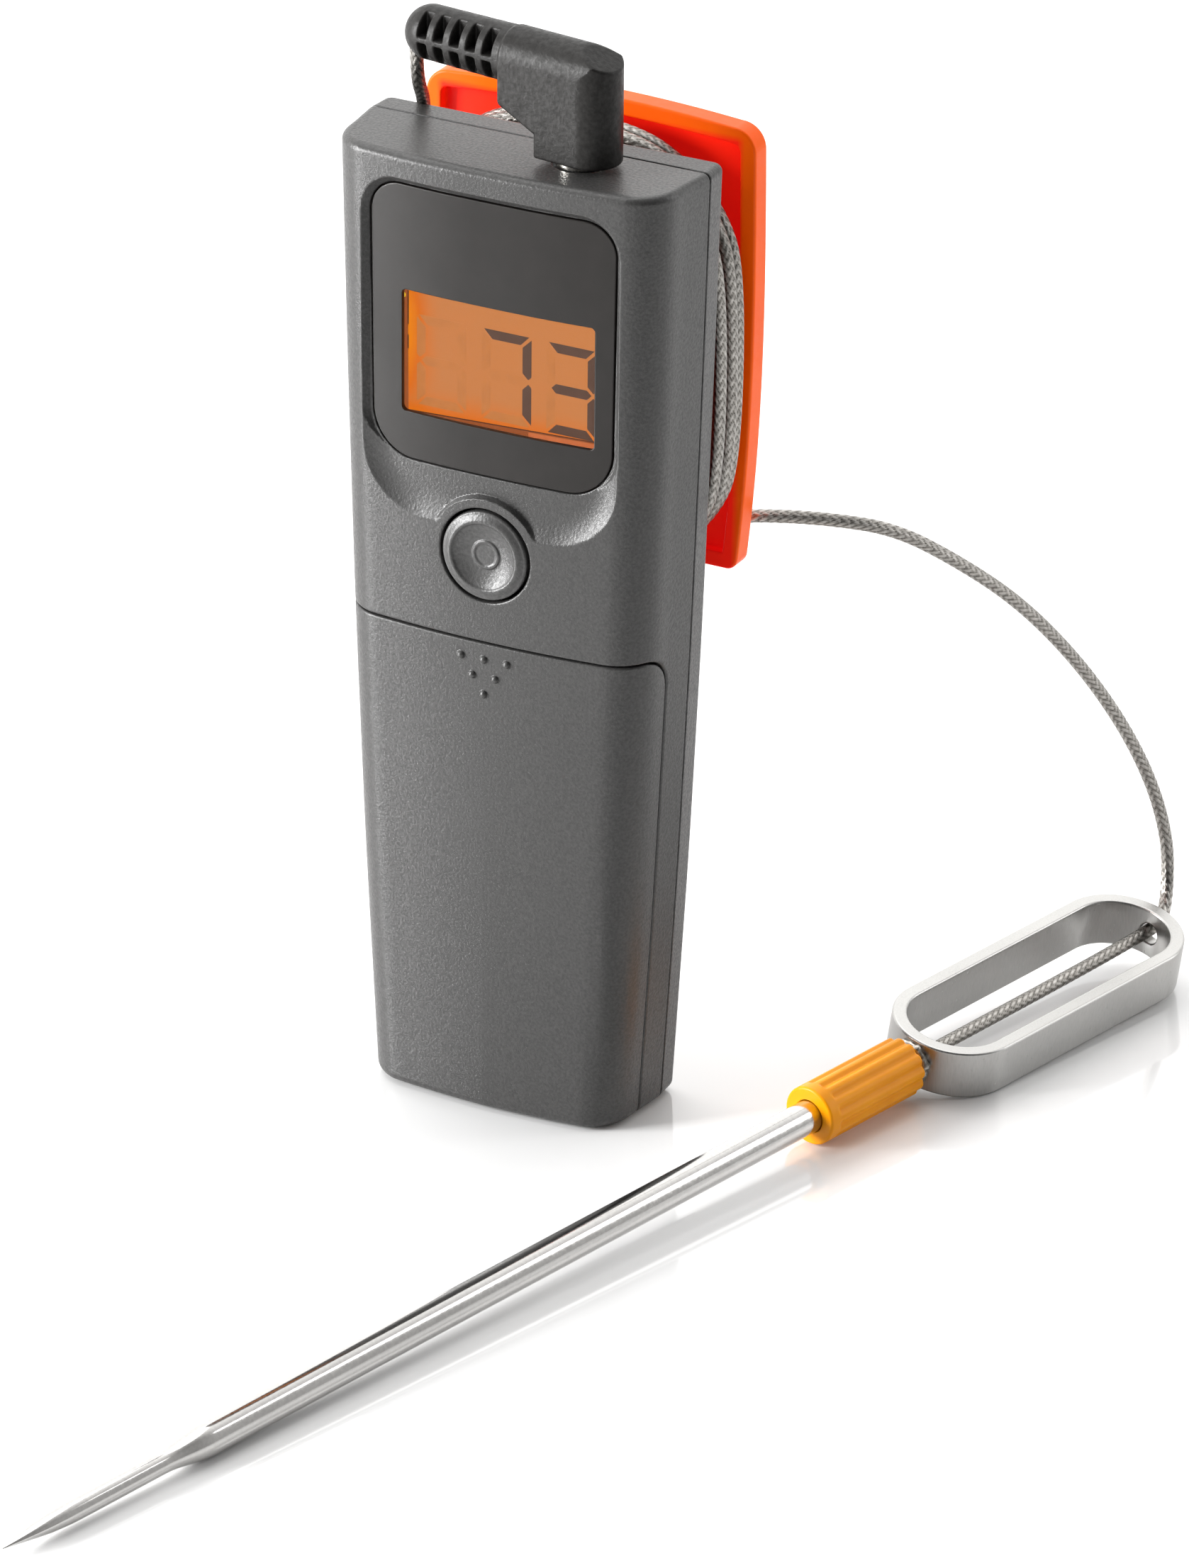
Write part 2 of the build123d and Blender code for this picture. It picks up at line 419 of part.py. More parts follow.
loop = Pos(loop_c, 0, -LOOP_H / 2) * extrude(st(LOOP_L, LOOP_W) - st(LOOP_L - 2 * LOOP_T, LOOP_W - 2 * LOOP_T), amount=LOOP_H)
loop = loop - along(loop_end - 4, loop_end + 4, HOLE_D / 2) - along(loop_start - 4, loop_start + 4, SHAFT_D / 2 + 0.01)
loop = fillet(loop.edges().filter_by(lambda e: abs(abs(e.center().Z) - LOOP_H / 2) < 1e-3), 0.25)
parts["finger_loop"] = one(probe_plane * loop)
# shaft runs through the loop's near wall and is welded there
shaft_in = probe_plane * (along(loop_start, loop_start + LOOP_T + 0.3, SHAFT_D / 2 - 0.02) - along(loop_start - 1, loop_start + 5, 0.9))
parts["probe_tube"] = one(parts["probe_tube"] + shaft_in)
bead = Pos(loop_start - 0.25, 0, 0) * Rot(0, 90, 0) * Torus(SHAFT_D / 2 + 0.25, 0.55)
bead = bead - along(-50, 50, SHAFT_D / 2 + 0.01) - (Pos(loop_c, 0, -LOOP_H) * extrude(st(LOOP_L + 0.02, LOOP_W + 0.02), amount=2 * LOOP_H))
parts["weld_bead"] = one(probe_plane * bead)
sleeve = along(0, SLEEVE_L, SLEEVE_D / 2)
sleeve = chamfer(sleeve.edges().filter_by(GeomType.CIRCLE), 0.35)
for i in range(12):
    a = radians(30 * i + 15)
    sleeve = sleeve - Pos(SLEEVE_L / 2 + 1.2, (SLEEVE_D / 2 + 0.55) * cos(a), (SLEEVE_D / 2 + 0.55) * sin(a)) * Rot(0, 90, 0) * Cylinder(0.85, SLEEVE_L)
sleeve = sleeve - along(-1, SLEEVE_L + 1, SLEEVE_BORE / 2)
parts["silicone_sleeve"] = one(probe_plane * sleeve)
# the cord enters the bore of the shaft
parts["probe_cord_end"] = one(parts["probe_cord_end"] - parts["probe_tube"])
parts["probe_cord_free"] = one(parts["probe_cord_free"] - parts["probe_cord_end"])

for name, shape in parts.items():
    shape.label = name
    export_step(shape, f"parts/{name}.step")
print(len(parts), "nodes")
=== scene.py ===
# Meat thermometer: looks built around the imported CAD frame.
import math
import bmesh
import bpy
import numpy as np
from mathutils import Matrix, Vector


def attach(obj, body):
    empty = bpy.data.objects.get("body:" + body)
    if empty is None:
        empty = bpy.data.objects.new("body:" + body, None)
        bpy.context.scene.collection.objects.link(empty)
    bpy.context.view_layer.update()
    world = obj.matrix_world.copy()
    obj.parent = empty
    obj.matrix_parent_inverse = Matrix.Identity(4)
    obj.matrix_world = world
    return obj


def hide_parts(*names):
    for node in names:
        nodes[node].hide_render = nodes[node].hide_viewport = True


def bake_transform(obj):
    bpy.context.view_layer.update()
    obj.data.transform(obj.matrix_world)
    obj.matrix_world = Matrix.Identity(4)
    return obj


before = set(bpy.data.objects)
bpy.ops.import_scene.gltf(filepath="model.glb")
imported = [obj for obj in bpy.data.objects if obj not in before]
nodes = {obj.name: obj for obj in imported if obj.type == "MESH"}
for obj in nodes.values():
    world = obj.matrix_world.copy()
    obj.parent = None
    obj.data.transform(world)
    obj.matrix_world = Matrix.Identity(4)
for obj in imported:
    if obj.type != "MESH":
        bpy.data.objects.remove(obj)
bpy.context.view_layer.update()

MM = 0.001
rng = np.random.default_rng(7)

# ------------------------------------------------------------------ camera
CAM_AT = Vector((0.44434, -0.82776, 0.48689))
CAM_AZ, CAM_EL, CAM_ROLL = math.radians(27.67), math.radians(25.47), math.radians(0.61)
cam_data = bpy.data.cameras.new("camera")
cam = bpy.data.objects.new("camera", cam_data)
bpy.context.scene.collection.objects.link(cam)
back = Vector((math.sin(CAM_AZ) * math.cos(CAM_EL), -math.cos(CAM_AZ) * math.cos(CAM_EL), math.sin(CAM_EL)))
right0 = Vector((math.cos(CAM_AZ), math.sin(CAM_AZ), 0))
up0 = back.cross(right0)
right = math.cos(CAM_ROLL) * right0 + math.sin(CAM_ROLL) * up0
up = -math.sin(CAM_ROLL) * right0 + math.cos(CAM_ROLL) * up0
cam.matrix_world = Matrix(((right.x, up.x, back.x, CAM_AT.x), (right.y, up.y, back.y, CAM_AT.y),
                           (right.z, up.z, back.z, CAM_AT.z), (0, 0, 0, 1)))
cam_data.sensor_fit = "HORIZONTAL"
cam_data.sensor_width = 36.0
cam_data.lens = 268.3
cam_data.clip_start, cam_data.clip_end = 0.05, 20.0
bpy.context.scene.camera = cam
bpy.context.scene.view_settings.view_transform = "Standard"

# ------------------------------------------------------------------ mesh helpers


def new_mesh(name, verts, faces, normals=None, material=None, uv=None, smooth=True):
    """Object from numpy vertices in metres and quads or triangles."""
    me = bpy.data.meshes.new(name)
    verts = np.asarray(verts, np.float32)
    me.vertices.add(len(verts))
    me.vertices.foreach_set("co", verts.ravel())
    groups = faces if isinstance(faces, list) else [faces]
    groups = [np.asarray(g, np.int32) for g in groups if len(g)]
    loops = np.concatenate([g.ravel() for g in groups])
    sizes = np.concatenate([np.full(len(g), g.shape[1], np.int32) for g in groups])
    starts = np.concatenate([[0], np.cumsum(sizes)[:-1]]).astype(np.int32)
    me.loops.add(len(loops))
    me.loops.foreach_set("vertex_index", loops)
    me.polygons.add(len(sizes))
    me.polygons.foreach_set("loop_start", starts)
    me.polygons.foreach_set("loop_total", sizes)
    me.polygons.foreach_set("use_smooth", np.full(len(sizes), smooth))
    if uv is not None:
        layer = me.uv_layers.new(name="UVMap")
        layer.data.foreach_set("uv", np.asarray(uv, np.float32).ravel())
    me.update(calc_edges=True)
    me.validate()
    if normals is not None:
        me.normals_split_custom_set_from_vertices(np.asarray(normals, np.float32).tolist())
    ob = bpy.data.objects.new(name, me)
    bpy.context.scene.collection.objects.link(ob)
    if material is not None:
        me.materials.append(material)
    return ob


def grid_steps(*spans):
    out = []
    for a, b, step in spans:
        n = max(1, int(math.ceil((b - a) / step - 1e-9)))
        out.extend(np.linspace(a, b, n, endpoint=False).tolist())
    out.append(spans[-1][1])
    return np.array(out)


def gradient(f, p, e=0.02):
    g = np.empty_like(p)
    for k in range(3):
        q = p.copy(); q[:, k] += e
        r = p.copy(); r[:, k] -= e
        g[:, k] = (f(q[:, 0], q[:, 1], q[:, 2]) - f(r[:, 0], r[:, 1], r[:, 2])) / (2 * e)
    return g


def surface_nets(f, xs, ys, zs, rounds=4):
    """Quads of f = 0 over a rectilinear grid, with vertices brought onto the surface. All in millimetres."""
    nx, ny, nz = len(xs), len(ys), len(zs)
    val = np.empty((nx, ny, nz), np.float32)
    gx, gy = np.meshgrid(xs, ys, indexing="ij")
    for k in range(0, nz, 16):
        zz = zs[k:k + 16]
        a = np.repeat(gx[:, :, None], len(zz), 2)
        b = np.repeat(gy[:, :, None], len(zz), 2)
        c = np.broadcast_to(zz, a.shape)
        val[:, :, k:k + 16] = f(a, b, c)
    ins = val < 0
    total = np.zeros((nx - 1, ny - 1, nz - 1), np.int8)
    for i in (0, 1):
        for j in (0, 1):
            for k in (0, 1):
                total += ins[i:nx - 1 + i, j:ny - 1 + j, k:nz - 1 + k]
    act = (total > 0) & (total < 8)
    ci, cj, ck = np.nonzero(act)
    index = np.full(act.shape, -1, np.int64)
    index[ci, cj, ck] = np.arange(len(ci))
    acc = np.zeros((len(ci), 3))
    cnt = np.zeros(len(ci))
    corner = [(i, j, k) for i in (0, 1) for j in (0, 1) for k in (0, 1)]
    for a in corner:
        for axis in range(3):
            if a[axis]:
                continue
            b = list(a); b[axis] = 1
            va = val[ci + a[0], cj + a[1], ck + a[2]].astype(float)
            vb = val[ci + b[0], cj + b[1], ck + b[2]].astype(float)
            cross = (va < 0) != (vb < 0)
            t = np.where(cross, va / np.where(cross, va - vb, 1), 0)
            pa = np.stack([xs[ci + a[0]], ys[cj + a[1]], zs[ck + a[2]]], 1)
            pb = np.stack([xs[ci + b[0]], ys[cj + b[1]], zs[ck + b[2]]], 1)
            acc += np.where(cross[:, None], pa + (pb - pa) * t[:, None], 0)
            cnt += cross
    p = acc / cnt[:, None]
    lo = np.stack([xs[ci], ys[cj], zs[ck]], 1)
    hi = np.stack([xs[ci + 1], ys[cj + 1], zs[ck + 1]], 1)
    for _ in range(rounds):
        v = f(p[:, 0], p[:, 1], p[:, 2])
        g = gradient(f, p)
        gg = np.maximum((g * g).sum(1), 0.05)
        p = np.clip(p - (v / gg)[:, None] * g, lo - 0.25 * (hi - lo), hi + 0.25 * (hi - lo))
    quads = []
    for axis in range(3):
        o1, o2 = [(1, 2), (2, 0), (0, 1)][axis]
        sl_a = [slice(None)] * 3; sl_b = [slice(None)] * 3
        sl_a[axis] = slice(0, -1); sl_b[axis] = slice(1, None)
        change = ins[tuple(sl_a)] != ins[tuple(sl_b)]
        e = np.stack(np.nonzero(change), 1)
        n = [nx, ny, nz]
        ok = (e[:, o1] > 0) & (e[:, o1] < n[o1] - 1) & (e[:, o2] > 0) & (e[:, o2] < n[o2] - 1)
        e = e[ok]
        first = ins[tuple(e.T)]
        quad = []
        for d1, d2 in ((-1, -1), (0, -1), (0, 0), (-1, 0)):
            c = e.copy(); c[:, o1] += d1; c[:, o2] += d2
            quad.append(index[tuple(c.T)])
        quad = np.stack(quad, 1)
        quad[~first] = quad[~first][:, ::-1]
        quads.append(quad)
    quads = np.concatenate(quads)
    quads = quads[(quads >= 0).all(1)]
    g = gradient(f, p, 0.03)
    nrm = g / np.maximum(np.linalg.norm(g, axis=1), 1e-9)[:, None]
    used, inv = np.unique(quads, return_inverse=True)
    return p[used], inv.reshape(-1, 4), nrm[used]


def solid_of(name, f, xs, ys, zs, material, place=None, rounds=4):
    p, q, n = surface_nets(f, xs, ys, zs, rounds)
    if place is not None:
        origin, axes = place
        p = origin + p @ axes
        n = n @ axes
    return new_mesh(name, p * MM, q, n, material)


# distance functions, millimetres
def inter(a, b, r=0.0):
    if r <= 0:
        return np.maximum(a, b)
    u, v = np.maximum(a + r, 0), np.maximum(b + r, 0)
    return np.minimum(np.maximum(a, b), -r) + np.sqrt(u * u + v * v)


def unite(a, b, r=0.0):
    return -inter(-a, -b, r)


def cut(a, b, r=0.0):
    return inter(a, -b, r)


def boxd(x, y, z, c, h, r=0.0):
    q = [np.abs(v - c[i]) - h[i] + r for i, v in enumerate((x, y, z))]
    out = np.sqrt(sum(np.maximum(k, 0) ** 2 for k in q))
    return out + np.minimum(np.maximum(np.maximum(q[0], q[1]), q[2]), 0) - r


def rect2(u, v, cu, cv, hu, hv, r_top, r_low=None):
    """Rounded rectangle, with other corner radii below."""
    r = r_top if r_low is None else np.where(v > cv, r_top, r_low)
    a, b = np.abs(u - cu) - hu + r, np.abs(v - cv) - hv + r
    return np.sqrt(np.maximum(a, 0) ** 2 + np.maximum(b, 0) ** 2) + np.minimum(np.maximum(a, b), 0) - r


class Outline:
    """Signed distance to a closed polygon, from a table."""

    def __init__(self, pts, x0, x1, y0, y1, step):
        self.x0, self.y0, self.step = x0, y0, step
        self.nx, self.ny = int(round((x1 - x0) / step)) + 1, int(round((y1 - y0) / step)) + 1
        gx, gy = np.meshgrid(x0 + step * np.arange(self.nx), y0 + step * np.arange(self.ny), indexing="ij")
        best = np.full(gx.shape, 1e9)
        inside = np.zeros(gx.shape, bool)
        pts = np.asarray(pts, float)
        for a, b in zip(pts, np.roll(pts, -1, 0)):
            d = b - a
            t = np.clip(((gx - a[0]) * d[0] + (gy - a[1]) * d[1]) / max(d @ d, 1e-12), 0, 1)
            best = np.minimum(best, (gx - a[0] - t * d[0]) ** 2 + (gy - a[1] - t * d[1]) ** 2)
            hit = (a[1] > gy) != (b[1] > gy)
            with np.errstate(divide="ignore", invalid="ignore"):
                xc = a[0] + (gy - a[1]) * (b[0] - a[0]) / (b[1] - a[1])
            inside ^= hit & (gx < xc)
        self.t = (np.sqrt(best) * np.where(inside, -1, 1)).astype(np.float32)

    def __call__(self, x, y):
        u = np.clip((x - self.x0) / self.step, 0, self.nx - 1.001)
        v = np.clip((y - self.y0) / self.step, 0, self.ny - 1.001)
        i, j = u.astype(np.int32), v.astype(np.int32)
        u, v = u - i, v - j
        t = self.t
        return (t[i, j] * (1 - u) + t[i + 1, j] * u) * (1 - v) + (t[i, j + 1] * (1 - u) + t[i + 1, j + 1] * u) * v


def arc3(a, b, c, n):
    """Points on the circle through a, b, c, from a to c."""
    a, b, c = (np.array(p, float) for p in (a, b, c))
    m = np.array([b - a, c - a])
    o = np.linalg.solve(m, 0.5 * np.array([b @ b - a @ a, c @ c - a @ a]))
    r = np.linalg.norm(a - o)
    t0, t1, t2 = (math.atan2(*(p - o)[::-1]) for p in (a, b, c))
    while t2 - t0 > math.pi: t2 -= 2 * math.pi
    while t2 - t0 < -math.pi: t2 += 2 * math.pi
    s = np.linspace(t0, t2, n)
    return np.stack([o[0] + r * np.cos(s), o[1] + r * np.sin(s)], 1)


def resample(line, step):
    line = np.asarray(line, float)
    d = np.concatenate([[0], np.cumsum(np.linalg.norm(np.diff(line, axis=0), axis=1))])
    at = np.linspace(0, d[-1], max(2, int(math.ceil(d[-1] / step)) + 1))
    return np.stack([np.interp(at, d, line[:, k]) for k in range(line.shape[1])], 1)


def lathe(name, profile, origin, axis, n, material, wobble=None):
    """Surface of revolution of (along, radius) pairs about axis through origin, in millimetres."""
    prof = np.asarray(profile, float)
    axis = np.array(axis, float) / np.linalg.norm(axis)
    ref = np.array([0, 0, 1.0]) if abs(axis[2]) < 0.9 else np.array([1.0, 0, 0])
    u = np.cross(axis, ref); u /= np.linalg.norm(u)
    v = np.cross(axis, u)
    th = np.arange(n) * 2 * math.pi / n
    T, S = np.meshgrid(th, np.arange(len(prof)), indexing="ij")
    along, rad = prof[S, 0], prof[S, 1]
    if wobble is not None:
        along, rad = wobble(T, along, rad)
    p = np.array(origin) + along[..., None] * axis + rad[..., None] * (np.cos(T)[..., None] * u + np.sin(T)[..., None] * v)
    m = len(prof)
    idx = np.arange(n * m).reshape(n, m)
    nxt = np.roll(idx, -1, 0)
    q = np.stack([idx[:, :-1], nxt[:, :-1], nxt[:, 1:], idx[:, 1:]], -1).reshape(-1, 4)
    ob = new_mesh(name, p.reshape(-1, 3) * MM, q, None, material)
    bm = bmesh.new(); bm.from_mesh(ob.data)
    bmesh.ops.remove_doubles(bm, verts=bm.verts, dist=2e-7)
    bmesh.ops.recalc_face_normals(bm, faces=bm.faces)
    bm.to_mesh(ob.data); bm.free()
    for poly in ob.data.polygons:
        poly.use_smooth = True
    return ob


# ------------------------------------------------------------------ materials
def material(name):
    m = bpy.data.materials.new(name)
    m.use_nodes = True
    nt = m.node_tree
    nt.nodes.clear()
    out = nt.nodes.new("ShaderNodeOutputMaterial")
    b = nt.nodes.new("ShaderNodeBsdfPrincipled")
    nt.links.new(b.outputs[0], out.inputs[0])
    return m, nt, b


def node(nt, kind, **values):
    n = nt.nodes.new(kind)
    for k, v in values.items():
        if k.startswith("_"):
            setattr(n, k[1:], v)
        else:
            n.inputs[k].default_value = v
    return n


def math_node(nt, op, a, b=None, c=None):
    n = nt.nodes.new("ShaderNodeMath")
    n.operation = op
    for i, v in enumerate((a, b, c)):
        if v is None:
            continue
        if isinstance(v, (int, float)):
            n.inputs[i].default_value = v
        else:
            nt.links.new(v, n.inputs[i])
    return n.outputs[0]


def position(nt):
    return nt.nodes.new("ShaderNodeTexCoord").outputs["Object"]


def noise(nt, scale, detail=2.0, rough=0.5, stretch=None):
    n = node(nt, "ShaderNodeTexNoise", Scale=scale, Detail=detail, Roughness=rough)
    src = position(nt)
    if stretch is not None:
        mp = node(nt, "ShaderNodeMapping")
        mp.inputs["Scale"].default_value = stretch
        nt.links.new(src, mp.inputs["Vector"])
        src = mp.outputs[0]
    nt.links.new(src, n.inputs["Vector"])
    return n.outputs["Fac"]


def ramp(nt, fac, stops):
    r = nt.nodes.new("ShaderNodeValToRGB")
    nt.links.new(fac, r.inputs[0])
    while len(r.color_ramp.elements) < len(stops):
        r.color_ramp.elements.new(0.5)
    for e, (pos, col) in zip(r.color_ramp.elements, stops):
        e.position = pos
        e.color = (*col, 1) if len(col) == 3 else col
    return r.outputs[0]


def spread_range(nt, fac, a, b, c, d):
    n = nt.nodes.new("ShaderNodeMapRange")
    nt.links.new(fac, n.inputs[0])
    for i, v in enumerate((a, b, c, d)):
        n.inputs[i + 1].default_value = v
    return n.outputs[0]


def bump(nt, b, height, strength, distance, prev=None):
    n = node(nt, "ShaderNodeBump", Strength=strength, Distance=distance)
    nt.links.new(height, n.inputs["Height"])
    if prev is not None:
        nt.links.new(prev, n.inputs["Normal"])
    nt.links.new(n.outputs[0], b.inputs["Normal"])
    return n.outputs[0]


def textured_plastic(name, dark, light, rough=0.42, grain=2600.0, depth=0.00006, strength=0.5, spec=0.5, metal=0.0, sparkle=0.0, coarse=None):
    m, nt, b = material(name)
    fine = noise(nt, grain, 3.0, 0.55)
    wide = noise(nt, 90.0, 2.0, 0.5)
    col = ramp(nt, math_node(nt, "ADD", math_node(nt, "MULTIPLY", fine, 0.93), math_node(nt, "MULTIPLY", wide, 0.07)), [(0.36, dark), (0.66, light)])
    nt.links.new(col, b.inputs["Base Color"])
    nt.links.new(spread_range(nt, fine, 0.3, 0.7, rough + 0.08, rough - 0.08), b.inputs["Roughness"])
    b.inputs["Specular IOR Level"].default_value = spec
    b.inputs["Metallic"].default_value = metal
    h = fine
    if coarse:
        h = math_node(nt, "ADD", fine, math_node(nt, "MULTIPLY", noise(nt, coarse, 2.0, 0.5), 1.2))
    bump(nt, b, h, strength, depth)
    return m


def brushed_metal(name, col_a, col_b, rough, stretch, scale=900.0, strength=0.15, depth=0.00002, aniso=0.0):
    m, nt, b = material(name)
    fine = noise(nt, scale, 3.0, 0.6, stretch)
    wide = noise(nt, 60.0, 2.0, 0.5)
    col = ramp(nt, math_node(nt, "ADD", math_node(nt, "MULTIPLY", fine, 0.6), math_node(nt, "MULTIPLY", wide, 0.4)), [(0.3, col_a), (0.7, col_b)])
    nt.links.new(col, b.inputs["Base Color"])
    b.inputs["Metallic"].default_value = 1.0
    nt.links.new(spread_range(nt, fine, 0.3, 0.7, rough * 0.8, rough * 1.25), b.inputs["Roughness"])
    b.inputs["Anisotropic"].default_value = aniso
    bump(nt, b, fine, strength, depth)
    return m


def smooth_plastic(name, col_a, col_b, rough=0.35, scale=260.0, spec=0.5, sub=0.0, sub_r=(1.0, 0.35, 0.1), bump_scale=1400.0, strength=0.12, depth=0.00003, coat=0.0):
    m, nt, b = material(name)
    wide = noise(nt, scale, 3.0, 0.55)
    nt.links.new(ramp(nt, wide, [(0.3, col_a), (0.7, col_b)]), b.inputs["Base Color"])
    fine = noise(nt, bump_scale, 2.0, 0.5)
    nt.links.new(spread_range(nt, fine, 0.3, 0.7, rough * 0.9, rough * 1.12), b.inputs["Roughness"])
    b.inputs["Specular IOR Level"].default_value = spec
    if sub:
        b.inputs["Subsurface Weight"].default_value = sub
        b.inputs["Subsurface Radius"].default_value = sub_r
        b.inputs["Subsurface Scale"].default_value = 0.002
    b.inputs["Coat Weight"].default_value = coat
    bump(nt, b, fine, strength, depth)
    return m


M_CASE = textured_plastic("case_charcoal", (0.028, 0.0275, 0.027), (0.048, 0.047, 0.046), rough=0.38, grain=2900.0, depth=0.00006, strength=0.8, spec=0.52)
M_BUTTON = textured_plastic("button_charcoal", (0.038, 0.0375, 0.037), (0.062, 0.061, 0.060), rough=0.37, grain=2700.0, depth=0.00006, strength=0.8, spec=0.52)
M_PLUG = textured_plastic("plug_moulding_black", (0.013, 0.0122, 0.0115), (0.024, 0.023, 0.022), rough=0.42, grain=1700.0, depth=0.00006, strength=0.7, spec=0.17)
M_MASK = smooth_plastic("window_mask_black", (0.011, 0.0095, 0.0085), (0.014, 0.012, 0.011), rough=0.38, spec=0.30, bump_scale=60.0, strength=0.0)


def paint_dish_shade_and_glow(mat):
    """Painted shade and glow in the plate's dish: its floor and inner walls get a deeper red and a red emission,
    standing in for shade and light bounced round the dish.
    """
    nt = mat.node_tree
    b = [n for n in nt.nodes if n.type == "BSDF_PRINCIPLED"][0]
    old = b.inputs["Base Color"].links[0].from_socket
    sep = nt.nodes.new("ShaderNodeSeparateXYZ")
    nt.links.new(position(nt), sep.inputs[0])
    fac = math_node(nt, "MULTIPLY", spread_range(nt, sep.outputs[1], 0.0186, 0.0190, 1.0, 0.0), 1.0)
    edge = math_node(nt, "MULTIPLY", spread_range(nt, math_node(nt, "ABSOLUTE", sep.outputs[0]), 0.0201, 0.0192, 0.0, 1.0),
                     spread_range(nt, sep.outputs[2], 0.1188, 0.1180, 0.0, 1.0))
    mix = nt.nodes.new("ShaderNodeMix")
    mix.data_type = "RGBA"
    # depth: mask of the painted shade and glow, the dish's floor and inner walls
    depth = math_node(nt, "MULTIPLY", math_node(nt, "MULTIPLY", fac, edge), 0.9)
    nt.links.new(depth, mix.inputs[0])
    # painted glow: red emission in the dish, though the plate is no lamp
    nt.links.new(ramp(nt, depth, [(0.0, (0.10, 0.008, 0.0)), (0.9, (0.27, 0.002, 0.002))]), b.inputs["Emission Color"])
    b.inputs["Emission Strength"].default_value = 1.0
    nt.links.new(old, mix.inputs[6])
    # painted shade: the deeper red of the dish floor and walls
    mix.inputs[7].default_value = (0.86, 0.008, 0.003, 1)
    nt.links.new(mix.outputs[2], b.inputs["Base Color"])


M_DARK = smooth_plastic("inner_black", (0.012, 0.012, 0.012), (0.02, 0.02, 0.02), rough=0.5)
M_ORANGE = smooth_plastic("spool_orange", (0.92, 0.105, 0.0), (0.96, 0.12, 0.001), rough=0.36, scale=120.0, spec=0.15, strength=0.10)
M_HUB = smooth_plastic("hub_orange", (0.72, 0.030, 0.002), (0.78, 0.040, 0.003), rough=0.4, scale=120.0, spec=0.35, strength=0.10)
# painted shade and glow in the plate's dish
paint_dish_shade_and_glow(M_ORANGE)
M_SILICONE = smooth_plastic("sleeve_silicone", (0.83, 0.29, 0.0), (0.88, 0.33, 0.0), rough=0.36, scale=200.0, spec=0.18, sub=0.10, sub_r=(1.0, 0.5, 0.05), strength=0.15)
M_SHAFT = brushed_metal("shaft_polished", (0.50, 0.49, 0.48), (0.60, 0.59, 0.575), 0.13, (1, 1, 1), 2200.0, 0.05, 0.00001, 0.0)
M_LOOP = brushed_metal("loop_satin", (0.40, 0.395, 0.385), (0.52, 0.515, 0.50), 0.34, (6, 6, 0.35), 900.0, 0.22, 0.00002)
M_WELD = textured_plastic("weld_bead_metal", (0.30, 0.28, 0.25), (0.62, 0.60, 0.56), rough=0.35, grain=1600.0, depth=0.0001, strength=0.8, metal=1.0)
M_NICKEL = brushed_metal("nickel_plate", (0.62, 0.60, 0.55), (0.74, 0.72, 0.68), 0.22, (1, 1, 1), 1200.0, 0.08)
M_SCREW = brushed_metal("screw_zinc", (0.26, 0.26, 0.27), (0.40, 0.40, 0.41), 0.34, (1, 1, 1), 1500.0, 0.2)
M_CELL = smooth_plastic("cell_wrap", (0.030, 0.032, 0.036), (0.05, 0.052, 0.058), rough=0.25, coat=0.4)
M_BOARD = smooth_plastic("board_green", (0.010, 0.075, 0.025), (0.018, 0.11, 0.04), rough=0.4)
M_WHITE = smooth_plastic("holder_white", (0.70, 0.69, 0.66), (0.78, 0.77, 0.74), rough=0.45)
M_CERAMIC = smooth_plastic("thermistor_bead", (0.35, 0.20, 0.12), (0.45, 0.28, 0.18), rough=0.3)


def lcd_material():
    m, nt, b = material("lcd_lit_orange")
    sep = nt.nodes.new("ShaderNodeSeparateXYZ")
    nt.links.new(position(nt), sep.inputs[0])
    x, z = sep.outputs[0], sep.outputs[2]
    left = math_node(nt, "POWER", spread_range(nt, x, -0.0118, -0.0072, 1.0, 0.0), 1.6)
    tall = spread_range(nt, math_node(nt, "ABSOLUTE", math_node(nt, "SUBTRACT", z, 0.0965)), 0.002, 0.0095, 1.0, 0.25)
    low = math_node(nt, "POWER", spread_range(nt, z, 0.0905, 0.0868, 0.0, 1.0), 1.5)
    glow = math_node(nt, "MAXIMUM", math_node(nt, "MULTIPLY", left, tall), math_node(nt, "MULTIPLY", low, 0.55))
    mottled = noise(nt, 260.0, 3.0, 0.55)
    fac = math_node(nt, "ADD", glow, math_node(nt, "MULTIPLY", math_node(nt, "SUBTRACT", mottled, 0.5), 0.16))
    col = ramp(nt, fac, [(0.0, (0.625, 0.215, 0.055)), (0.5, (0.78, 0.165, 0.006)), (1.0, (0.93, 0.265, 0.0))])
    b.inputs["Base Color"].default_value = (0.01, 0.006, 0.004, 1)
    nt.links.new(col, b.inputs["Emission Color"])
    b.inputs["Emission Strength"].default_value = 1.0
    b.inputs["Specular IOR Level"].default_value = 0.1
    b.inputs["Roughness"].default_value = 0.5
    return m


def digit_material(name, col):
    m, nt, b = material(name)
    fac = noise(nt, 900.0, 2.0, 0.5)
    nt.links.new(ramp(nt, fac, [(0.3, tuple(c * 0.94 for c in col)), (0.7, tuple(min(1, c * 1.06) for c in col))]), b.inputs["Emission Color"])
    b.inputs["Base Color"].default_value = (0.01, 0.006, 0.004, 1)
    b.inputs["Emission Strength"].default_value = 1.0
    b.inputs["Specular IOR Level"].default_value = 0.1
    b.inputs["Roughness"].default_value = 0.5
    return m


def pane_material():
    m, nt, b = material("window_pane_clear")
    b.inputs["Alpha"].default_value = 0.05
    b.inputs["Roughness"].default_value = 0.12
    nt.links.new(ramp(nt, noise(nt, 40.0, 1.0, 0.5), [(0.3, (0.010, 0.010, 0.010)), (0.7, (0.016, 0.016, 0.016))]), b.inputs["Base Color"])
    return m


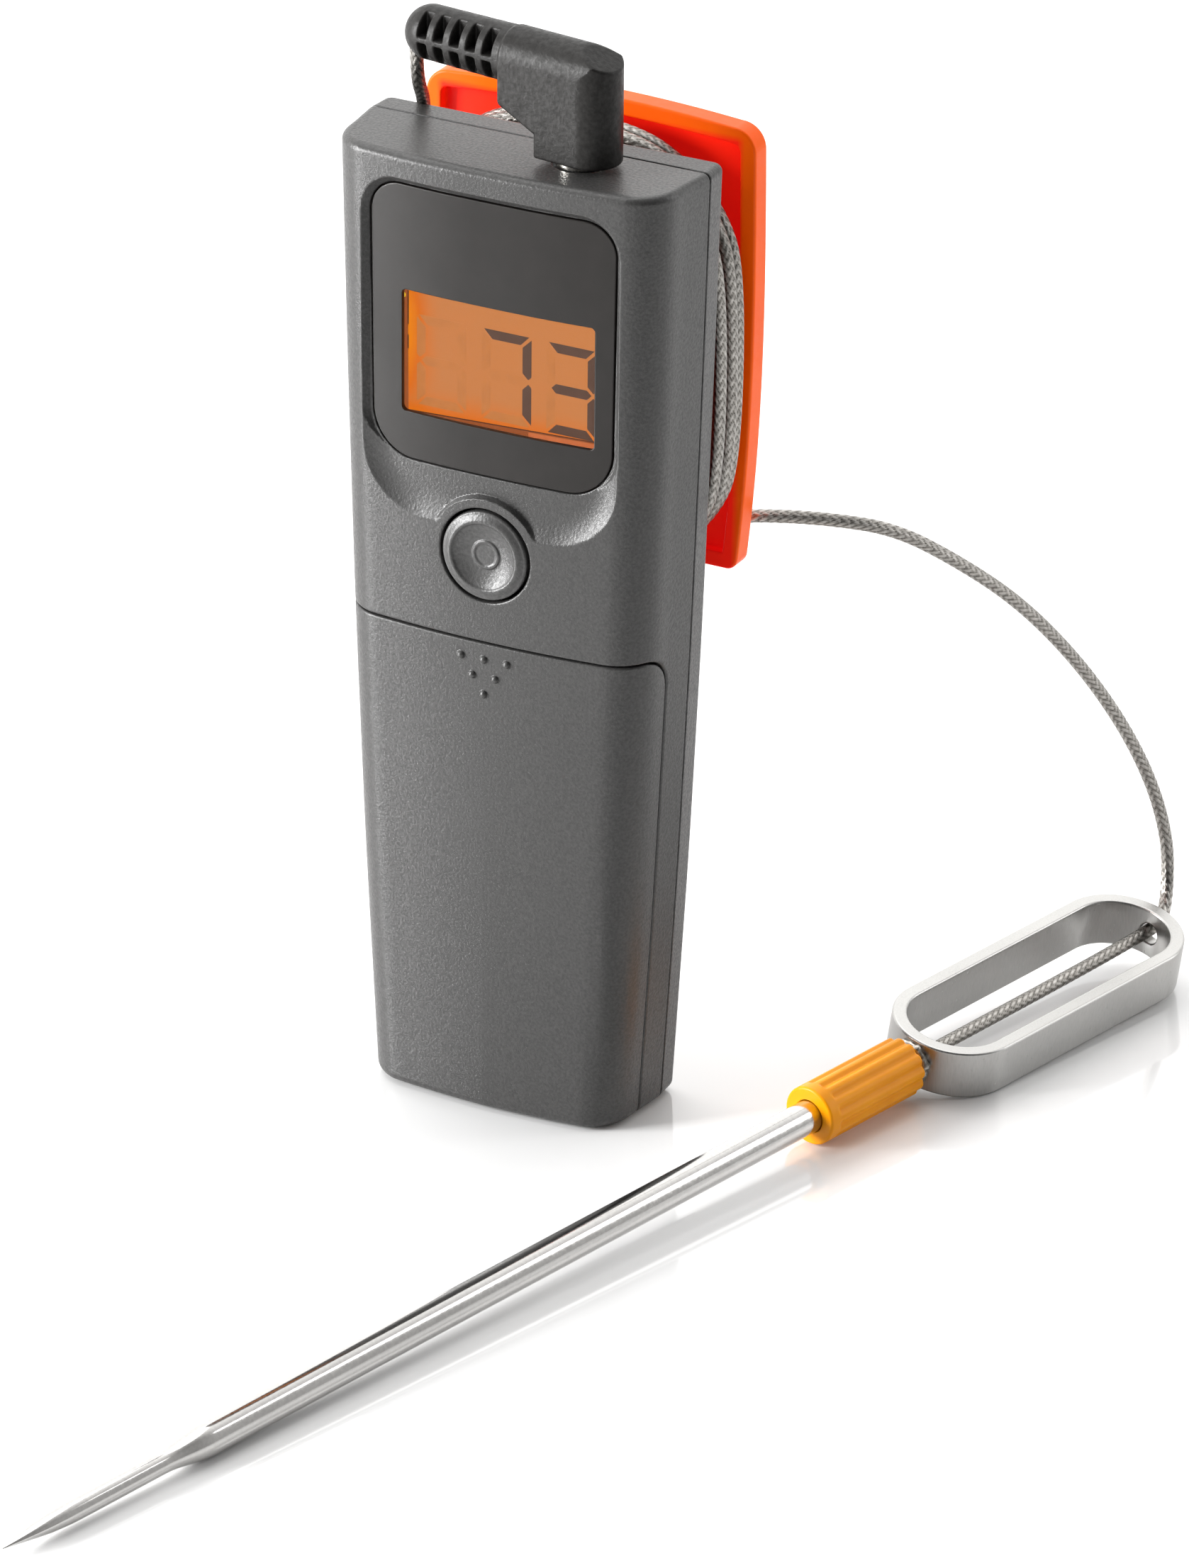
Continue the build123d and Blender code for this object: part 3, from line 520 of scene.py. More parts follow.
def braid_material():
    """Braided wire: fine wires along each carrier, from the cord's own UV (turns round, diameters along)."""
    m, nt, b = material("cord_braid_steel")
    uv = nt.nodes.new("ShaderNodeUVMap"); uv.uv_map = "UVMap"
    sep = nt.nodes.new("ShaderNodeSeparateXYZ")
    nt.links.new(uv.outputs[0], sep.inputs[0])
    u, v = sep.outputs[0], sep.outputs[1]
    # two families of wires
    fam = nt.nodes.new("ShaderNodeAttribute"); fam.attribute_name = "family"
    a = math_node(nt, "ADD", math_node(nt, "MULTIPLY", u, 48.0), math_node(nt, "MULTIPLY", v, 7.2))
    c = math_node(nt, "SUBTRACT", math_node(nt, "MULTIPLY", u, 48.0), math_node(nt, "MULTIPLY", v, 7.2))
    wa = math_node(nt, "SINE", math_node(nt, "MULTIPLY", a, 2 * math.pi))
    wc = math_node(nt, "SINE", math_node(nt, "MULTIPLY", c, 2 * math.pi))
    mix = nt.nodes.new("ShaderNodeMix"); mix.data_type = "FLOAT"
    nt.links.new(fam.outputs["Fac"], mix.inputs[0])
    nt.links.new(wa, mix.inputs[2]); nt.links.new(wc, mix.inputs[3])
    wires = mix.outputs[0]
    # painted shade: the relief height darkens the colour in the dips between carriers
    braid_dip_shade = nt.nodes.new("ShaderNodeAttribute"); braid_dip_shade.attribute_name = "depth"
    tone = math_node(nt, "ADD", math_node(nt, "MULTIPLY", wires, 0.10), braid_dip_shade.outputs["Fac"])
    tone = math_node(nt, "ADD", tone, math_node(nt, "MULTIPLY", math_node(nt, "SUBTRACT", noise(nt, 1500.0, 3.0, 0.6), 0.5), 0.45))
    nt.links.new(ramp(nt, tone, [(0.12, (0.020, 0.018, 0.016)), (0.46, (0.22, 0.208, 0.19)), (0.95, (0.66, 0.64, 0.61))]), b.inputs["Base Color"])
    b.inputs["Metallic"].default_value = 1.0
    b.inputs["Roughness"].default_value = 0.30
    bump(nt, b, wires, 0.35, 0.00003)
    return m


M_LCD = lcd_material()
M_DIGIT = digit_material("lcd_digit", (0.105, 0.052, 0.034))
M_GHOST = digit_material("lcd_ghost", (0.60, 0.205, 0.050))
M_STRIP = digit_material("display_edge_strip", (0.34, 0.085, 0.022))
M_STRIP_LIT = digit_material("display_edge_lit", (0.62, 0.16, 0.05))
M_LINE = digit_material("display_edge_line", (0.10, 0.030, 0.012))
M_SPARK = digit_material("display_lamp_spot", (1.0, 0.62, 0.03))
M_PANE = pane_material()
M_BRAID = braid_material()


def led_material():
    m, nt, b = material("led_glow")
    nt.links.new(ramp(nt, noise(nt, 800.0), [(0.3, (1.0, 0.50, 0.02)), (0.7, (1.0, 0.62, 0.06))]), b.inputs["Emission Color"])
    b.inputs["Emission Strength"].default_value = 2.5
    b.inputs["Base Color"].default_value = (0.8, 0.5, 0.1, 1)
    return m


M_LED = led_material()

# ------------------------------------------------------------------ cords
CORD_D = 1.6
SPOOL_Z = 91.5
LEAD_PTS = [(-15.3, 3.2, 127.6), (-15.45, 3.5, 125.2), (-16.0, 5.0, 122.4), (-16.9, 7.6, 120.0), (-17.9, 9.7, 117.2), (-18.7, 10.3, 114.0),
            (-19.7, 10.5, 109.6)]
FREE_PTS = [(-6.5, 15.3, 65.0), (-2.5, 16.7, 65.0), (2.6, 18.9, 65.4), (8.4, 20.6, 66.7), (14.4, 21.6, 68.3), (20.6, 23.4, 69.2), (26.9, 27.2, 68.6),
            (32.6, 33.0, 66.3), (37.4, 40.1, 60.5), (41.8, 48.4, 52.9), (45.6, 56.8, 43.0), (48.5, 64.3, 32.4), (50.9, 69.0, 22.8),
            (52.3, 71.2, 14.6), (52.9, 70.6, 9.0), (53.9, 67.6, 5.9), (53.9214, 64.4502, 4.96747)]
END_PT = (42.9818, 22.1498, 4.13617)


def coil_point(k):
    """Control point k of the winding, sixteen a turn, from the upper left corner and turning down the left side."""
    t = k / 16.0
    corners = [(-1, 1), (-1, -1), (1, -1), (1, 1)]
    c = (k // 4) % 4
    sx, sz = corners[c]
    start = {0: 90.0, 1: 180.0, 2: 270.0, 3: 0.0}[c]
    a = math.radians(start + 11.25 + 22.5 * (k % 4))
    # layer: 0 outer, 1 inner
    layer = float(np.clip((t - 0.86) / 0.14, 0, 1) - np.clip((t - 3.0) / 0.16, 0, 1))
    y = float(np.interp(t, [0, 0.9, 1.05, 3.0, 3.2, 5.4], [9.85, 9.85, 10.2, 13.6, 11.75, 15.15]))
    w, h, r = 21.0 - 1.9 * layer, 26.5 - 1.9 * layer, 17.7 - 1.9 * layer
    h1 = math.sin(k * 1.7) * 0.16 + math.sin(k * 0.61 + 1.0) * 0.14
    h2 = math.sin(k * 1.13 + 0.5) * 0.12 + math.sin(k * 0.47) * 0.10
    grow = r / math.cos(math.radians(11.25)) - max(0.0, h1 * 0.8)
    x = sx * (w - r) + grow * math.cos(a)
    z = SPOOL_Z + sz * (h - r) + grow * math.sin(a)
    return (x, min(max(y + h2, 9.72), 15.08), z)


first_k, last_k = 3, 16 * 5 + 7
COIL = [coil_point(k) for k in range(first_k, last_k + 1)]
SPLIT = 3                                     # the lead keeps this many of the winding's first points


def nurbs_line(pts, name):
    """Points down a NURBS curve of order 3 through the route's control points, in millimetres."""
    cu = bpy.data.curves.new(name, "CURVE")
    cu.dimensions = "3D"
    sp = cu.splines.new("NURBS")
    sp.points.add(len(pts) - 1)
    for p, q in zip(sp.points, pts):
        p.co = (q[0] * MM, q[1] * MM, q[2] * MM, 1)
    sp.order_u = 3
    sp.use_endpoint_u = True
    cu.resolution_u = 16
    bare = bpy.data.objects.new(name, cu)
    me = bpy.data.meshes.new_from_object(bare)
    line = np.array([v.co for v in me.vertices], float) / MM
    bpy.data.meshes.remove(me)
    bpy.data.objects.remove(bare)
    bpy.data.curves.remove(cu)
    return line


def braided_tube(name, line, step, around, v0=0.0):
    """Tube along the line with the relief of a braid: eight carriers each way, two over and two under."""
    c = resample(line, step)
    n = len(c)
    tan = np.gradient(c, axis=0)
    tan /= np.linalg.norm(tan, axis=1)[:, None]
    nor = np.zeros_like(c)
    seed = np.array([0.0, 0.0, 1.0]) if abs(tan[0, 2]) < 0.9 else np.array([1.0, 0, 0])
    v = np.cross(tan[0], seed); nor[0] = v / np.linalg.norm(v)
    for i in range(1, n):
        v = nor[i - 1] - tan[i] * (nor[i - 1] @ tan[i])
        nor[i] = v / np.linalg.norm(v)
    bi = np.cross(tan, nor)
    s = np.concatenate([[0], np.cumsum(np.linalg.norm(np.diff(c, axis=0), axis=1))]) + v0
    u = np.arange(around) / around
    S, U = np.meshgrid(s, u, indexing="ij")
    N, LAY = 8, 9.0                            # carriers each way, millimetres for one turn of a carrier
    a, b = N * (U + S / LAY), N * (U - S / LAY)
    fa, fb = np.abs((a % 1) - 0.5) * 2, np.abs((b % 1) - 0.5) * 2    # 0 at a carrier's middle, 1 at its edge
    over = ((np.floor(a) + np.floor(b)) % 4) < 2                  # which family lies on top
    wa = 1 - fa ** 4
    wb = 1 - fb ** 4
    h_over = np.where(over, wa, wb)
    # a carrier dives at the ends of its float
    phase = np.where(over, (np.floor(a) + b) % 4 / 2, (np.floor(b) + a) % 4 / 2 - 0.0)
    dive = np.sin(np.clip(phase % 1.0, 0, 1) * math.pi) ** 0.5
    height = h_over * (0.55 + 0.45 * dive)
    rad = CORD_D / 2 - 0.085 + 0.10 * height
    P = c[:, None, :] + rad[..., None] * (np.cos(2 * math.pi * U)[..., None] * nor[:, None, :] + np.sin(2 * math.pi * U)[..., None] * bi[:, None, :])
    idx = np.arange(n * around).reshape(n, around)
    nx = np.roll(idx, -1, 1)
    q = np.stack([idx[:-1], nx[:-1], nx[1:], idx[1:]], -1).reshape(-1, 4)[:, ::-1]
    uq = np.stack([U[:-1], np.roll(U, -1, 1)[:-1], np.roll(U, -1, 1)[1:], U[1:]], -1).reshape(-1, 4)
    uq = np.where((uq == 0) & (uq.max(1, keepdims=True) > 0.6), 1.0, uq)
    vq = np.stack([S[:-1], S[:-1], S[1:], S[1:]], -1).reshape(-1, 4)
    uv = np.stack([uq[:, ::-1], vq[:, ::-1] / LAY], -1).reshape(-1, 2)
    caps0, caps1 = c[0], c[-1]
    verts = np.concatenate([P.reshape(-1, 3), caps0[None], caps1[None]])
    k0, k1 = n * around, n * around + 1
    tri = [[k0, int(nx[0, i]), int(idx[0, i])] for i in range(around)] + [[k1, int(idx[-1, i]), int(nx[-1, i])] for i in range(around)]
    tri = np.array(tri, np.int32)[:, ::-1]
    uv = np.concatenate([uv, np.zeros((len(tri) * 3, 2))])
    ob = new_mesh(name, verts * MM, [q, tri], None, M_BRAID, uv)
    me = ob.data
    # depth is the relief height, which braid_material also turns into painted shade in the dips
    for label, vals in (("family", np.where(over, 0.0, 1.0)), ("depth", 0.12 + 0.55 * height)):
        att = me.attributes.new(label, "FLOAT", "POINT")
        full = np.zeros(len(me.vertices), np.float32)
        full[:n * around] = vals.ravel()
        att.data.foreach_set("value", full)
    bm = bmesh.new(); bm.from_mesh(me)
    bmesh.ops.recalc_face_normals(bm, faces=bm.faces)
    bm.to_mesh(me); bm.free()
    return ob, c, float(s[-1] - s[0])


lead_route = LEAD_PTS + COIL[:SPLIT]
main_route = COIL[SPLIT - 1:] + FREE_PTS[1:] + [END_PT]
whole = nurbs_line(LEAD_PTS + COIL + FREE_PTS[1:] + [END_PT], "route")
# cut the whole line where the lead's own piece ends
cut_at = np.array(COIL[SPLIT])
i_cut = int(np.argmin(np.linalg.norm(whole - cut_at, axis=1)))
lead_line, main_line = whole[:i_cut + 1], whole[i_cut:][::-1]
lead, lead_path, lead_len = braided_tube("probe_cord_to_plug", lead_line, 0.12, 36)
main, main_path, main_len = braided_tube("probe_cord", main_line, 0.16, 32)
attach(main, "display_unit")
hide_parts("probe_cord_coil", "probe_cord_free", "probe_cord_end")
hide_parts("probe_cord_lead")
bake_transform(lead)

# ------------------------------------------------------------------ the casing's form
BODY_H, Y_FRONT, Y_SEAM, Y_BACK = 119.0, -8.3, 4.1, 8.3
HW_Z, HW_W = [-5, 0.0, 30.0, 60.0, 90.0, 119.0, 125.0], [17.16, 17.45, 19.2, 20.5, 21.45, 22.15, 22.3]
# one smooth curve through the stations
_zz = np.linspace(-5, 125, 521)
_ww = np.interp(_zz, HW_Z, HW_W)
_k = np.exp(-0.5 * (np.arange(-60, 61) * 0.25 / 6.0) ** 2); _k /= _k.sum()
_ww = np.convolve(np.pad(_ww, 60, mode="reflect", reflect_type="odd"), _k, "valid")


def half_w(z):
    return np.interp(z, _zz, _ww)


crown = [(x, Y_FRONT + 0.75 * (max(0.0, x + 20.0) / 13.5) ** 2) for x in np.linspace(-26, -6.5, 60)]
corner = arc3((-6.5, Y_FRONT + 0.75), (-2.24, -5.8), (-0.65, -1.4), 40)
raw = np.concatenate([crown, corner[1:], [(0.0, 4.1)]])
raw = resample(raw, 0.1)
ks = np.exp(-0.5 * (np.arange(-20, 21) / 8.0) ** 2); ks /= ks.sum()
sm = np.stack([np.convolve(np.pad(raw[:, k], 20, mode="reflect", reflect_type="odd"), ks, "valid") for k in (0, 1)], 1)
sm = resample(sm, 0.22)
back_arc = arc3((-0.15, 7.0), (-0.15 - 1.3 + 1.3 * 0.7071, 7.0 + 1.3 * 0.7071), (-1.45, 8.3), 12)
outline = np.concatenate([sm, back_arc, [(-26.0, 8.3)]])
PLAN = Outline(outline, -24.5, 3.0, -11.0, 11.0, 0.1)


def casing(x, y, z):
    return PLAN(np.abs(x) - half_w(z), y)


def crown_y(x, z):
    w = half_w(z)
    return Y_FRONT + 0.75 * (np.clip(np.abs(x) - w + 20.0, 0, 15) / 13.5) ** 2


WIN_ZC, WIN_HH = 98.25, 16.85
BTN_Z = 71.8


def lens_edge(x, z):
    hw = 15.5 + 0.4 * np.clip((z - 81.4) / 33.7, 0, 1)
    return rect2(x / hw * 15.7, z, 0, WIN_ZC, 15.7, WIN_HH, 4.0, 5.6)


def relief(x, z):
    """How far the front face lies below its crown, in millimetres."""
    d1 = rect2(x, z, 0, WIN_ZC + 0.1, 16.75, WIN_HH + 0.95, 5.0, 6.4)
    step = np.clip(-d1 * 1.3, 0, 1.0)
    # scoop below the window
    d2 = rect2(x, z, 0, 92.0, 16.75, 17.2, 5.0, 8.6)
    s = 1.0 * (1 - (1 - np.clip(-d2 / 3.8, 0, 1)) ** 2)
    s = np.where(z < 92, s, 0)
    dep = np.maximum(step, s)
    collar = np.hypot(x, z - BTN_Z) - 7.0
    return dep * np.clip(collar / 0.28, 0, 1)


def outer_front(x, y, z):
    d = casing(x, y, z)
    f = ((crown_y(x, z) + relief(x, z)) - y) * 0.8
    d = inter(d, np.where(y < 0, f, -5.0), 0.08)
    d = inter(d, z - BODY_H, 0.95)
    return inter(d, -z, 1.25)


def door_zone(y, z, gap):
    """Negative where the battery door is."""
    return inter(y + 0.4 + gap, z - 60.9 + gap, 4.2)


def front_shell(x, y, z):
    d = outer_front(x, y, z)
    d = inter(d, y - Y_SEAM + 0.06, 0.12)
    c = casing(x, y, z)
    hollow_up = np.maximum(np.maximum(c + 1.7, 62.4 - z), np.maximum(z - 117.2, -4.1 - y))
    hollow_low = np.maximum(np.maximum(c + 1.7, 0.8 - y), np.maximum(z - 60.9, 1.7 - z))
    d = np.maximum(d, -hollow_up)
    d = np.maximum(d, -hollow_low)
    tray = boxd(x, y, z, (0, 2.9, 30.6), (13.5, 2.9, 27.6), 0.4)
    d = np.minimum(d, tray)
    d = np.maximum(d, -boxd(x, y, z, (0, -0.2, 30.6), (12.3, 4.8, 26.4), 0.3))
    d = cut(d, np.where(y < 3.0, door_zone(y, z, 0.0), 5.0), 0.28)
    # window pocket, black-lined, and the opening for the display behind it
    le = lens_edge(x, z)
    d = cut(d, np.maximum(le - 0.14, y + 4.95), 0.10)
    d = np.maximum(d, -np.maximum(np.abs(x) - 13.4, np.maximum(np.abs(z - 95.0) - 8.6, np.abs(y + 5.0) - 4.0)))
    # button well
    rb = np.hypot(x, z - BTN_Z)
    d = cut(d, np.maximum(rb - 5.85, y + 3.0), 0.22)
    # jack hole with a shallow dish, and the little insert seam behind it
    rj = np.hypot(x - 7.7, y)
    d = cut(d, np.maximum(rj - 3.25, 118.85 - z), 0.1)
    d = np.maximum(d, -np.maximum(rj - 1.6, 112.0 - z))
    d = np.maximum(d, -np.maximum(np.maximum(np.abs(x - 10.9) - 0.1, np.abs(y - 3.0) - 1.3), 118.7 - z))
    return d


XS = grid_steps((-22.9, -14.2, 0.19), (-14.2, -9.0, 0.3), (-9.0, 9.0, 0.22), (9.0, 14.2, 0.3), (14.2, 22.9, 0.19))
case_front = solid_of("front_casing", front_shell, XS,
                      grid_steps((-8.95, -4.2, 0.19), (-4.2, -1.4, 0.45), (-1.4, 0.6, 0.2), (0.6, 3.7, 0.5), (3.7, 4.4, 0.1), (4.4, 6.2, 0.3)),
                      grid_steps((-0.5, 2.2, 0.22), (2.2, 54.6, 0.8), (54.6, 62.6, 0.2), (62.6, 84.0, 0.22), (84.0, 110.0, 0.6), (110.0, 119.5, 0.19)), M_CASE)
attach(case_front, "display_unit"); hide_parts("front_shell")

DOTS = [(-3.0, 58.7), (0.0, 58.7), (3.0, 58.7), (-1.5, 56.5), (1.5, 56.5), (0.0, 54.3)]


def battery_door(x, y, z):
    d = outer_front(x, y, z)
    c = casing(x, y, z)
    d = np.maximum(d, -np.maximum(c + 1.5, 1.5 - z))
    d = inter(d, door_zone(y, z, 0.2), 0.25)
    for cx, cz in DOTS:
        s = np.sqrt((x - cx) ** 2 + (y - Y_FRONT - 0.10) ** 2 + (z - cz) ** 2) - 0.50
        d = unite(d, s, 0.05)
    return d


door = solid_of("battery_cover", battery_door,
                grid_steps((-21.2, -13.0, 0.2), (-13.0, -4.2, 0.4), (-4.2, 4.2, 0.1), (4.2, 13.0, 0.4), (13.0, 21.2, 0.2)),
                grid_steps((-8.95, -4.2, 0.17), (-4.2, -1.6, 0.4), (-1.6, 0.0, 0.16)),
                grid_steps((-0.5, 2.2, 0.22), (2.2, 53.2, 0.8), (53.2, 61.2, 0.11)), M_CASE)
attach(door, "battery_cover"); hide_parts("battery_door")

BACK_SCREWS = [(s * x, z) for x, z in ((17.0, 112.3), (16.8, 70.5), (14.8, 9.0)) for s in (-1, 1)]


def back_shell(x, y, z):
    c = casing(x, y, z)
    d = inter(c, z - BODY_H, 0.95)
    d = inter(d, -z, 1.25)
    d = inter(d, Y_SEAM + 0.2 - y, 0.12)
    d = np.maximum(d, -np.maximum(np.maximum(c + 1.5, np.abs(z - 59.5) - 57.9), y - 6.8))
    for cx, cz in BACK_SCREWS:
        r = np.hypot(x - cx, z - cz)
        d = np.minimum(d, np.maximum(np.maximum(np.maximum(r - 2.7, 4.5 - y), y - 8.0), c + 0.6))
        d = cut(d, np.maximum(r - 1.65, 6.7 - y), 0.12)
        d = np.maximum(d, -(r - 1.25))
    return d


case_back = solid_of("back_casing", back_shell,
                     grid_steps((-22.9, -12.5, 0.24), (-12.5, 12.5, 0.9), (12.5, 22.9, 0.24)),
                     grid_steps((3.9, 4.7, 0.1), (4.7, 6.4, 0.3), (6.4, 8.7, 0.16)),
                     grid_steps((-0.5, 2.2, 0.22), (2.2, 6.4, 0.5), (6.4, 11.8, 0.24), (11.8, 67.6, 0.9), (67.6, 73.4, 0.24), (73.4, 109.4, 0.9), (109.4, 119.5, 0.22)), M_CASE)
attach(case_back, "display_unit"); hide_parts("back_shell")


# pan-head screws with a cross recess, one mesh
def screws_form(x, y, z):
    d = None
    for cx, cz in BACK_SCREWS:
        r = np.hypot(x - cx, z - cz)
        h = inter(r - 1.5, np.maximum(y - 7.55 + 0.18 * (r / 1.5) ** 2, 6.75 - y), 0.12)
        cross = np.minimum(np.maximum(np.abs(x - cx) - 0.22, np.abs(z - cz) - 0.95), np.maximum(np.abs(z - cz) - 0.22, np.abs(x - cx) - 0.95))
        h = np.maximum(h, -np.maximum(cross, 7.05 - y))
        h = np.minimum(h, np.maximum(r - 0.9, np.abs(y - 4.7) - 2.1))
        d = h if d is None else np.minimum(d, h)
    return d


screws = solid_of("casing_screws", screws_form, grid_steps((-19.0, -12.9, 0.11), (-12.9, 12.9, 2.0), (12.9, 19.0, 0.11)), grid_steps((2.3, 6.5, 0.35), (6.5, 7.8, 0.1)),
                  grid_steps((7.0, 11.0, 0.11), (11.0, 68.5, 3.0), (68.5, 72.5, 0.11), (72.5, 110.3, 3.0), (110.3, 114.3, 0.11)), M_SCREW)
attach(screws, "display_unit"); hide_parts("case_screws")


# ------------------------------------------------------------------ window, mask, display
def opening(x, z):
    return rect2(x, z, 0.86, 94.73, 12.45, 7.53, 0.6)


def window_pane(x, y, z):
    cy = crown_y(x, z)
    return inter(opening(x, z) + 0.03, np.abs(y - cy - 1.22) - 0.2, 0.05)


pane = solid_of("display_pane", window_pane, grid_steps((-11.9, -10.7, 0.15), (-10.7, 12.4, 0.6), (12.4, 13.7, 0.15)), grid_steps((-7.6, -6.2, 0.1)),
                grid_steps((86.8, 88.1, 0.15), (88.1, 101.3, 0.6), (101.3, 102.7, 0.15)), M_PANE)
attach(pane, "display_unit"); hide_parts("display_window")


def window_mask(x, y, z):
    le = lens_edge(x, z)
    cy = crown_y(x, z)
    d = inter(le + 0.03, cy + 0.96 - y, 0.12)
    d = np.maximum(d, y - cy - 1.62)
    return cut(d, opening(x, z), 0.05)


mask = solid_of("window_mask", window_mask, grid_steps((-16.3, -10.7, 0.14), (-10.7, 12.4, 0.6), (12.4, 16.3, 0.14)), grid_steps((-7.8, -5.8, 0.1)),
                grid_steps((81.0, 88.2, 0.14), (88.2, 101.2, 0.6), (101.2, 103.0, 0.14), (103.4, 110.4, 0.6), (110.4, 115.6, 0.14)), M_MASK)
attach(mask, "display_unit")


def plates(name, polys, y0, y1, mat):
    verts, tris = [], []
    for poly in polys:
        n = len(poly)
        base = len(verts)
        cx, cz = np.mean(poly, axis=0)
        verts += [(x, y0, z) for x, z in poly] + [(x, y1, z) for x, z in poly] + [(cx, y0, cz), (cx, y1, cz)]
        for i in range(n):
            j = (i + 1) % n
            tris += [(base + i, base + j, base + 2 * n), (base + n + j, base + n + i, base + 2 * n + 1),
                     (base + i, base + n + i, base + j), (base + j, base + n + i, base + n + j)]
    ob = new_mesh(name, np.array(verts) * MM, np.array(tris), None, mat, smooth=False)
    bm = bmesh.new(); bm.from_mesh(ob.data)
    bmesh.ops.recalc_face_normals(bm, faces=bm.faces)
    bm.to_mesh(ob.data); bm.free()
    return ob


def digit(x, lit):
    """Segments of one slanted-end digit whose left edge is at x."""
    seg = {"a": [(0.0, 98.7), (5.85, 98.7), (4.75, 97.56), (1.1, 97.56)],
           "b": [(6.15, 98.4), (6.15, 93.8), (5.75, 93.42), (5.0, 94.14), (5.0, 97.3)],
           "c": [(5.75, 92.86), (6.15, 92.46), (6.15, 87.87), (5.0, 88.98), (5.0, 92.1)],
           "g": [(0.35, 93.13), (0.92, 93.69), (4.9, 93.69), (5.5, 93.13), (4.92, 92.54), (0.92, 92.54)],
           "d": [(1.0, 88.68), (4.85, 88.68), (5.9, 87.56), (-0.1, 87.56)],
           "e": [(0.1, 92.86), (-0.3, 92.46), (-0.3, 87.87), (0.85, 88.98), (0.85, 92.1)],
           "f": [(-0.3, 98.4), (-0.3, 93.8), (0.1, 93.42), (0.85, 94.14), (0.85, 97.3)]}
    return [[(x + px, pz) for px, pz in seg[s]] for s in "abcdefg" if (s in lit)]


dark = digit(-1.82, "abc") + digit(6.6, "abcdg")
ghost = digit(-1.82, "defg") + digit(6.6, "ef") + digit(-10.3, "abcdefg")
dg = plates("display_digits", dark, -5.19, -5.155, M_DIGIT)
gh = plates("display_ghost_segments", ghost, -5.175, -5.155, M_GHOST)
st = plates("display_edge", [[(-12.6, 101.5), (-11.75, 101.4), (-11.7, 86.4), (-12.6, 86.1)], [(-11.7, 86.55), (12.7, 87.5), (12.7, 86.1), (-11.7, 86.1)]], -5.195, -5.16, M_STRIP)
lit = plates("display_edge_glow", [[(4.0, 86.98), (12.7, 87.30), (12.7, 86.1), (4.0, 86.25)]], -5.205, -5.17, M_STRIP_LIT)
ln = plates("display_edge_lines", [[(-11.7, 86.62), (12.7, 87.58), (12.7, 87.45), (-11.7, 86.49)], [(-11.82, 101.4), (-11.66, 101.4), (-11.66, 97.2), (-11.82, 97.2)],
                                   [(-11.82, 95.9), (-11.66, 95.9), (-11.66, 94.2), (-11.82, 94.2)]], -5.21, -5.17, M_LINE)
sp0 = plates("display_lamp_spot", [[(-12.25 + 0.2 * math.cos(a), 100.75 + 0.3 * math.sin(a)) for a in np.linspace(0, 2 * math.pi, 16, endpoint=False)]], -5.215, -5.17, M_SPARK)
for o in (dg, gh, st, lit, ln, sp0):
    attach(o, "display_unit")


# ------------------------------------------------------------------ button
def cap_profile():
    pts = [(0.0, -2.9)]
    pts += [(5.45, -2.9), (5.5, -2.8), (5.5, -0.30)]
    pts += [(5.5 - 0.3 * (1 - math.cos(t)), -0.30 + 0.3 * math.sin(t)) for t in np.linspace(0.15, math.pi / 2, 6)]
    pts += [(5.0, 0.10), (4.75, 0.24), (4.55, 0.335), (4.42, 0.37), (4.30, 0.375), (4.18, 0.34), (4.08, 0.26), (4.0, 0.17)]
    pts += [(r, 0.17 - 0.80 * (1 - (r / 4.0) ** 2.6)) for r in np.linspace(3.85, 1.95, 12)]
    pts += [(1.86, -0.50), (1.80, -0.44), (1.74, -0.38), (1.66, -0.35), (1.50, -0.35), (1.40, -0.38), (1.32, -0.44), (1.22, -0.47), (0.9, -0.46), (0.45, -0.46), (0.0, -0.46)]
    fine = []
    for a, b in zip(pts, pts[1:]):
        n = max(1, int(math.ceil(math.hypot(b[0] - a[0], b[1] - a[1]) / 0.18)))
        fine += [(a[0] + (b[0] - a[0]) * i / n, a[1] + (b[1] - a[1]) * i / n) for i in range(n)]
    fine.append(pts[-1])
    return [(h, r) for r, h in fine]


cap = lathe("push_button", cap_profile(), (0, Y_FRONT - 0.05, BTN_Z), (0, -1, 0), 128, M_BUTTON)
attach(cap, "button"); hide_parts("button_cap")

# ------------------------------------------------------------------ plug
JACK = (7.7, 0.0)
pt = math.radians(-8.0)
PLUG_AXES = np.array([[math.cos(pt), math.sin(pt), 0], [-math.sin(pt), math.cos(pt), 0], [0, 0, 1.0]])


def plug_form(x, y, z):
    # arm: rounded top, flat sides
    top = np.where(z > 130.0, np.hypot(y, z - 130.0) - 3.5, np.abs(y) - 3.5)
    form = np.maximum(top, np.where(x > 1.6, np.hypot(x - 1.6, y) - 3.5, np.abs(y) - 3.5))
    under = (124.9 - z) + np.clip((x + 9.4) / 5.14, 0, 1) * -2.5
    arm = inter(form, -(x + 9.4), 0.35)
    arm = inter(arm, under * 0.9, 0.45)
    stem = inter(form, -(x + 4.26), 0.4)
    stem = inter(stem, 119.62 - z, 0.35)
    d = np.minimum(arm, stem)
    n = math.radians(27.0)
    facet = (x - 5.1) * math.sin(n) + (z - 131.2) * math.cos(n)
    d = inter(d, facet, 0.22)
    # ribbed strain relief
    r = np.hypot(y, z - 130.0)
    taper = 3.35 - 0.12 * np.clip((-9.4 - x) / 11.0, 0, 1)
    sr = np.where(x < -20.9, np.sqrt((x + 20.9) ** 2 + r * r) - taper, r - taper)
    sr = np.maximum(sr, x + 9.0)
    for i in range(5):
        xs = -11.0 - 2.3 * i
        for s in (-1, 1):
            slot = boxd(x, y, z, (xs, s * 3.2, 131.95), (0.62, 1.9, 1.62), 0.2)
            slot = np.minimum(slot, boxd(x, y, z, (xs, s * 3.2, 128.05), (0.62, 1.9, 1.62), 0.2))
            sr = cut(sr, slot, 0.18)
    d = unite(d, sr, 0.12)
    return d


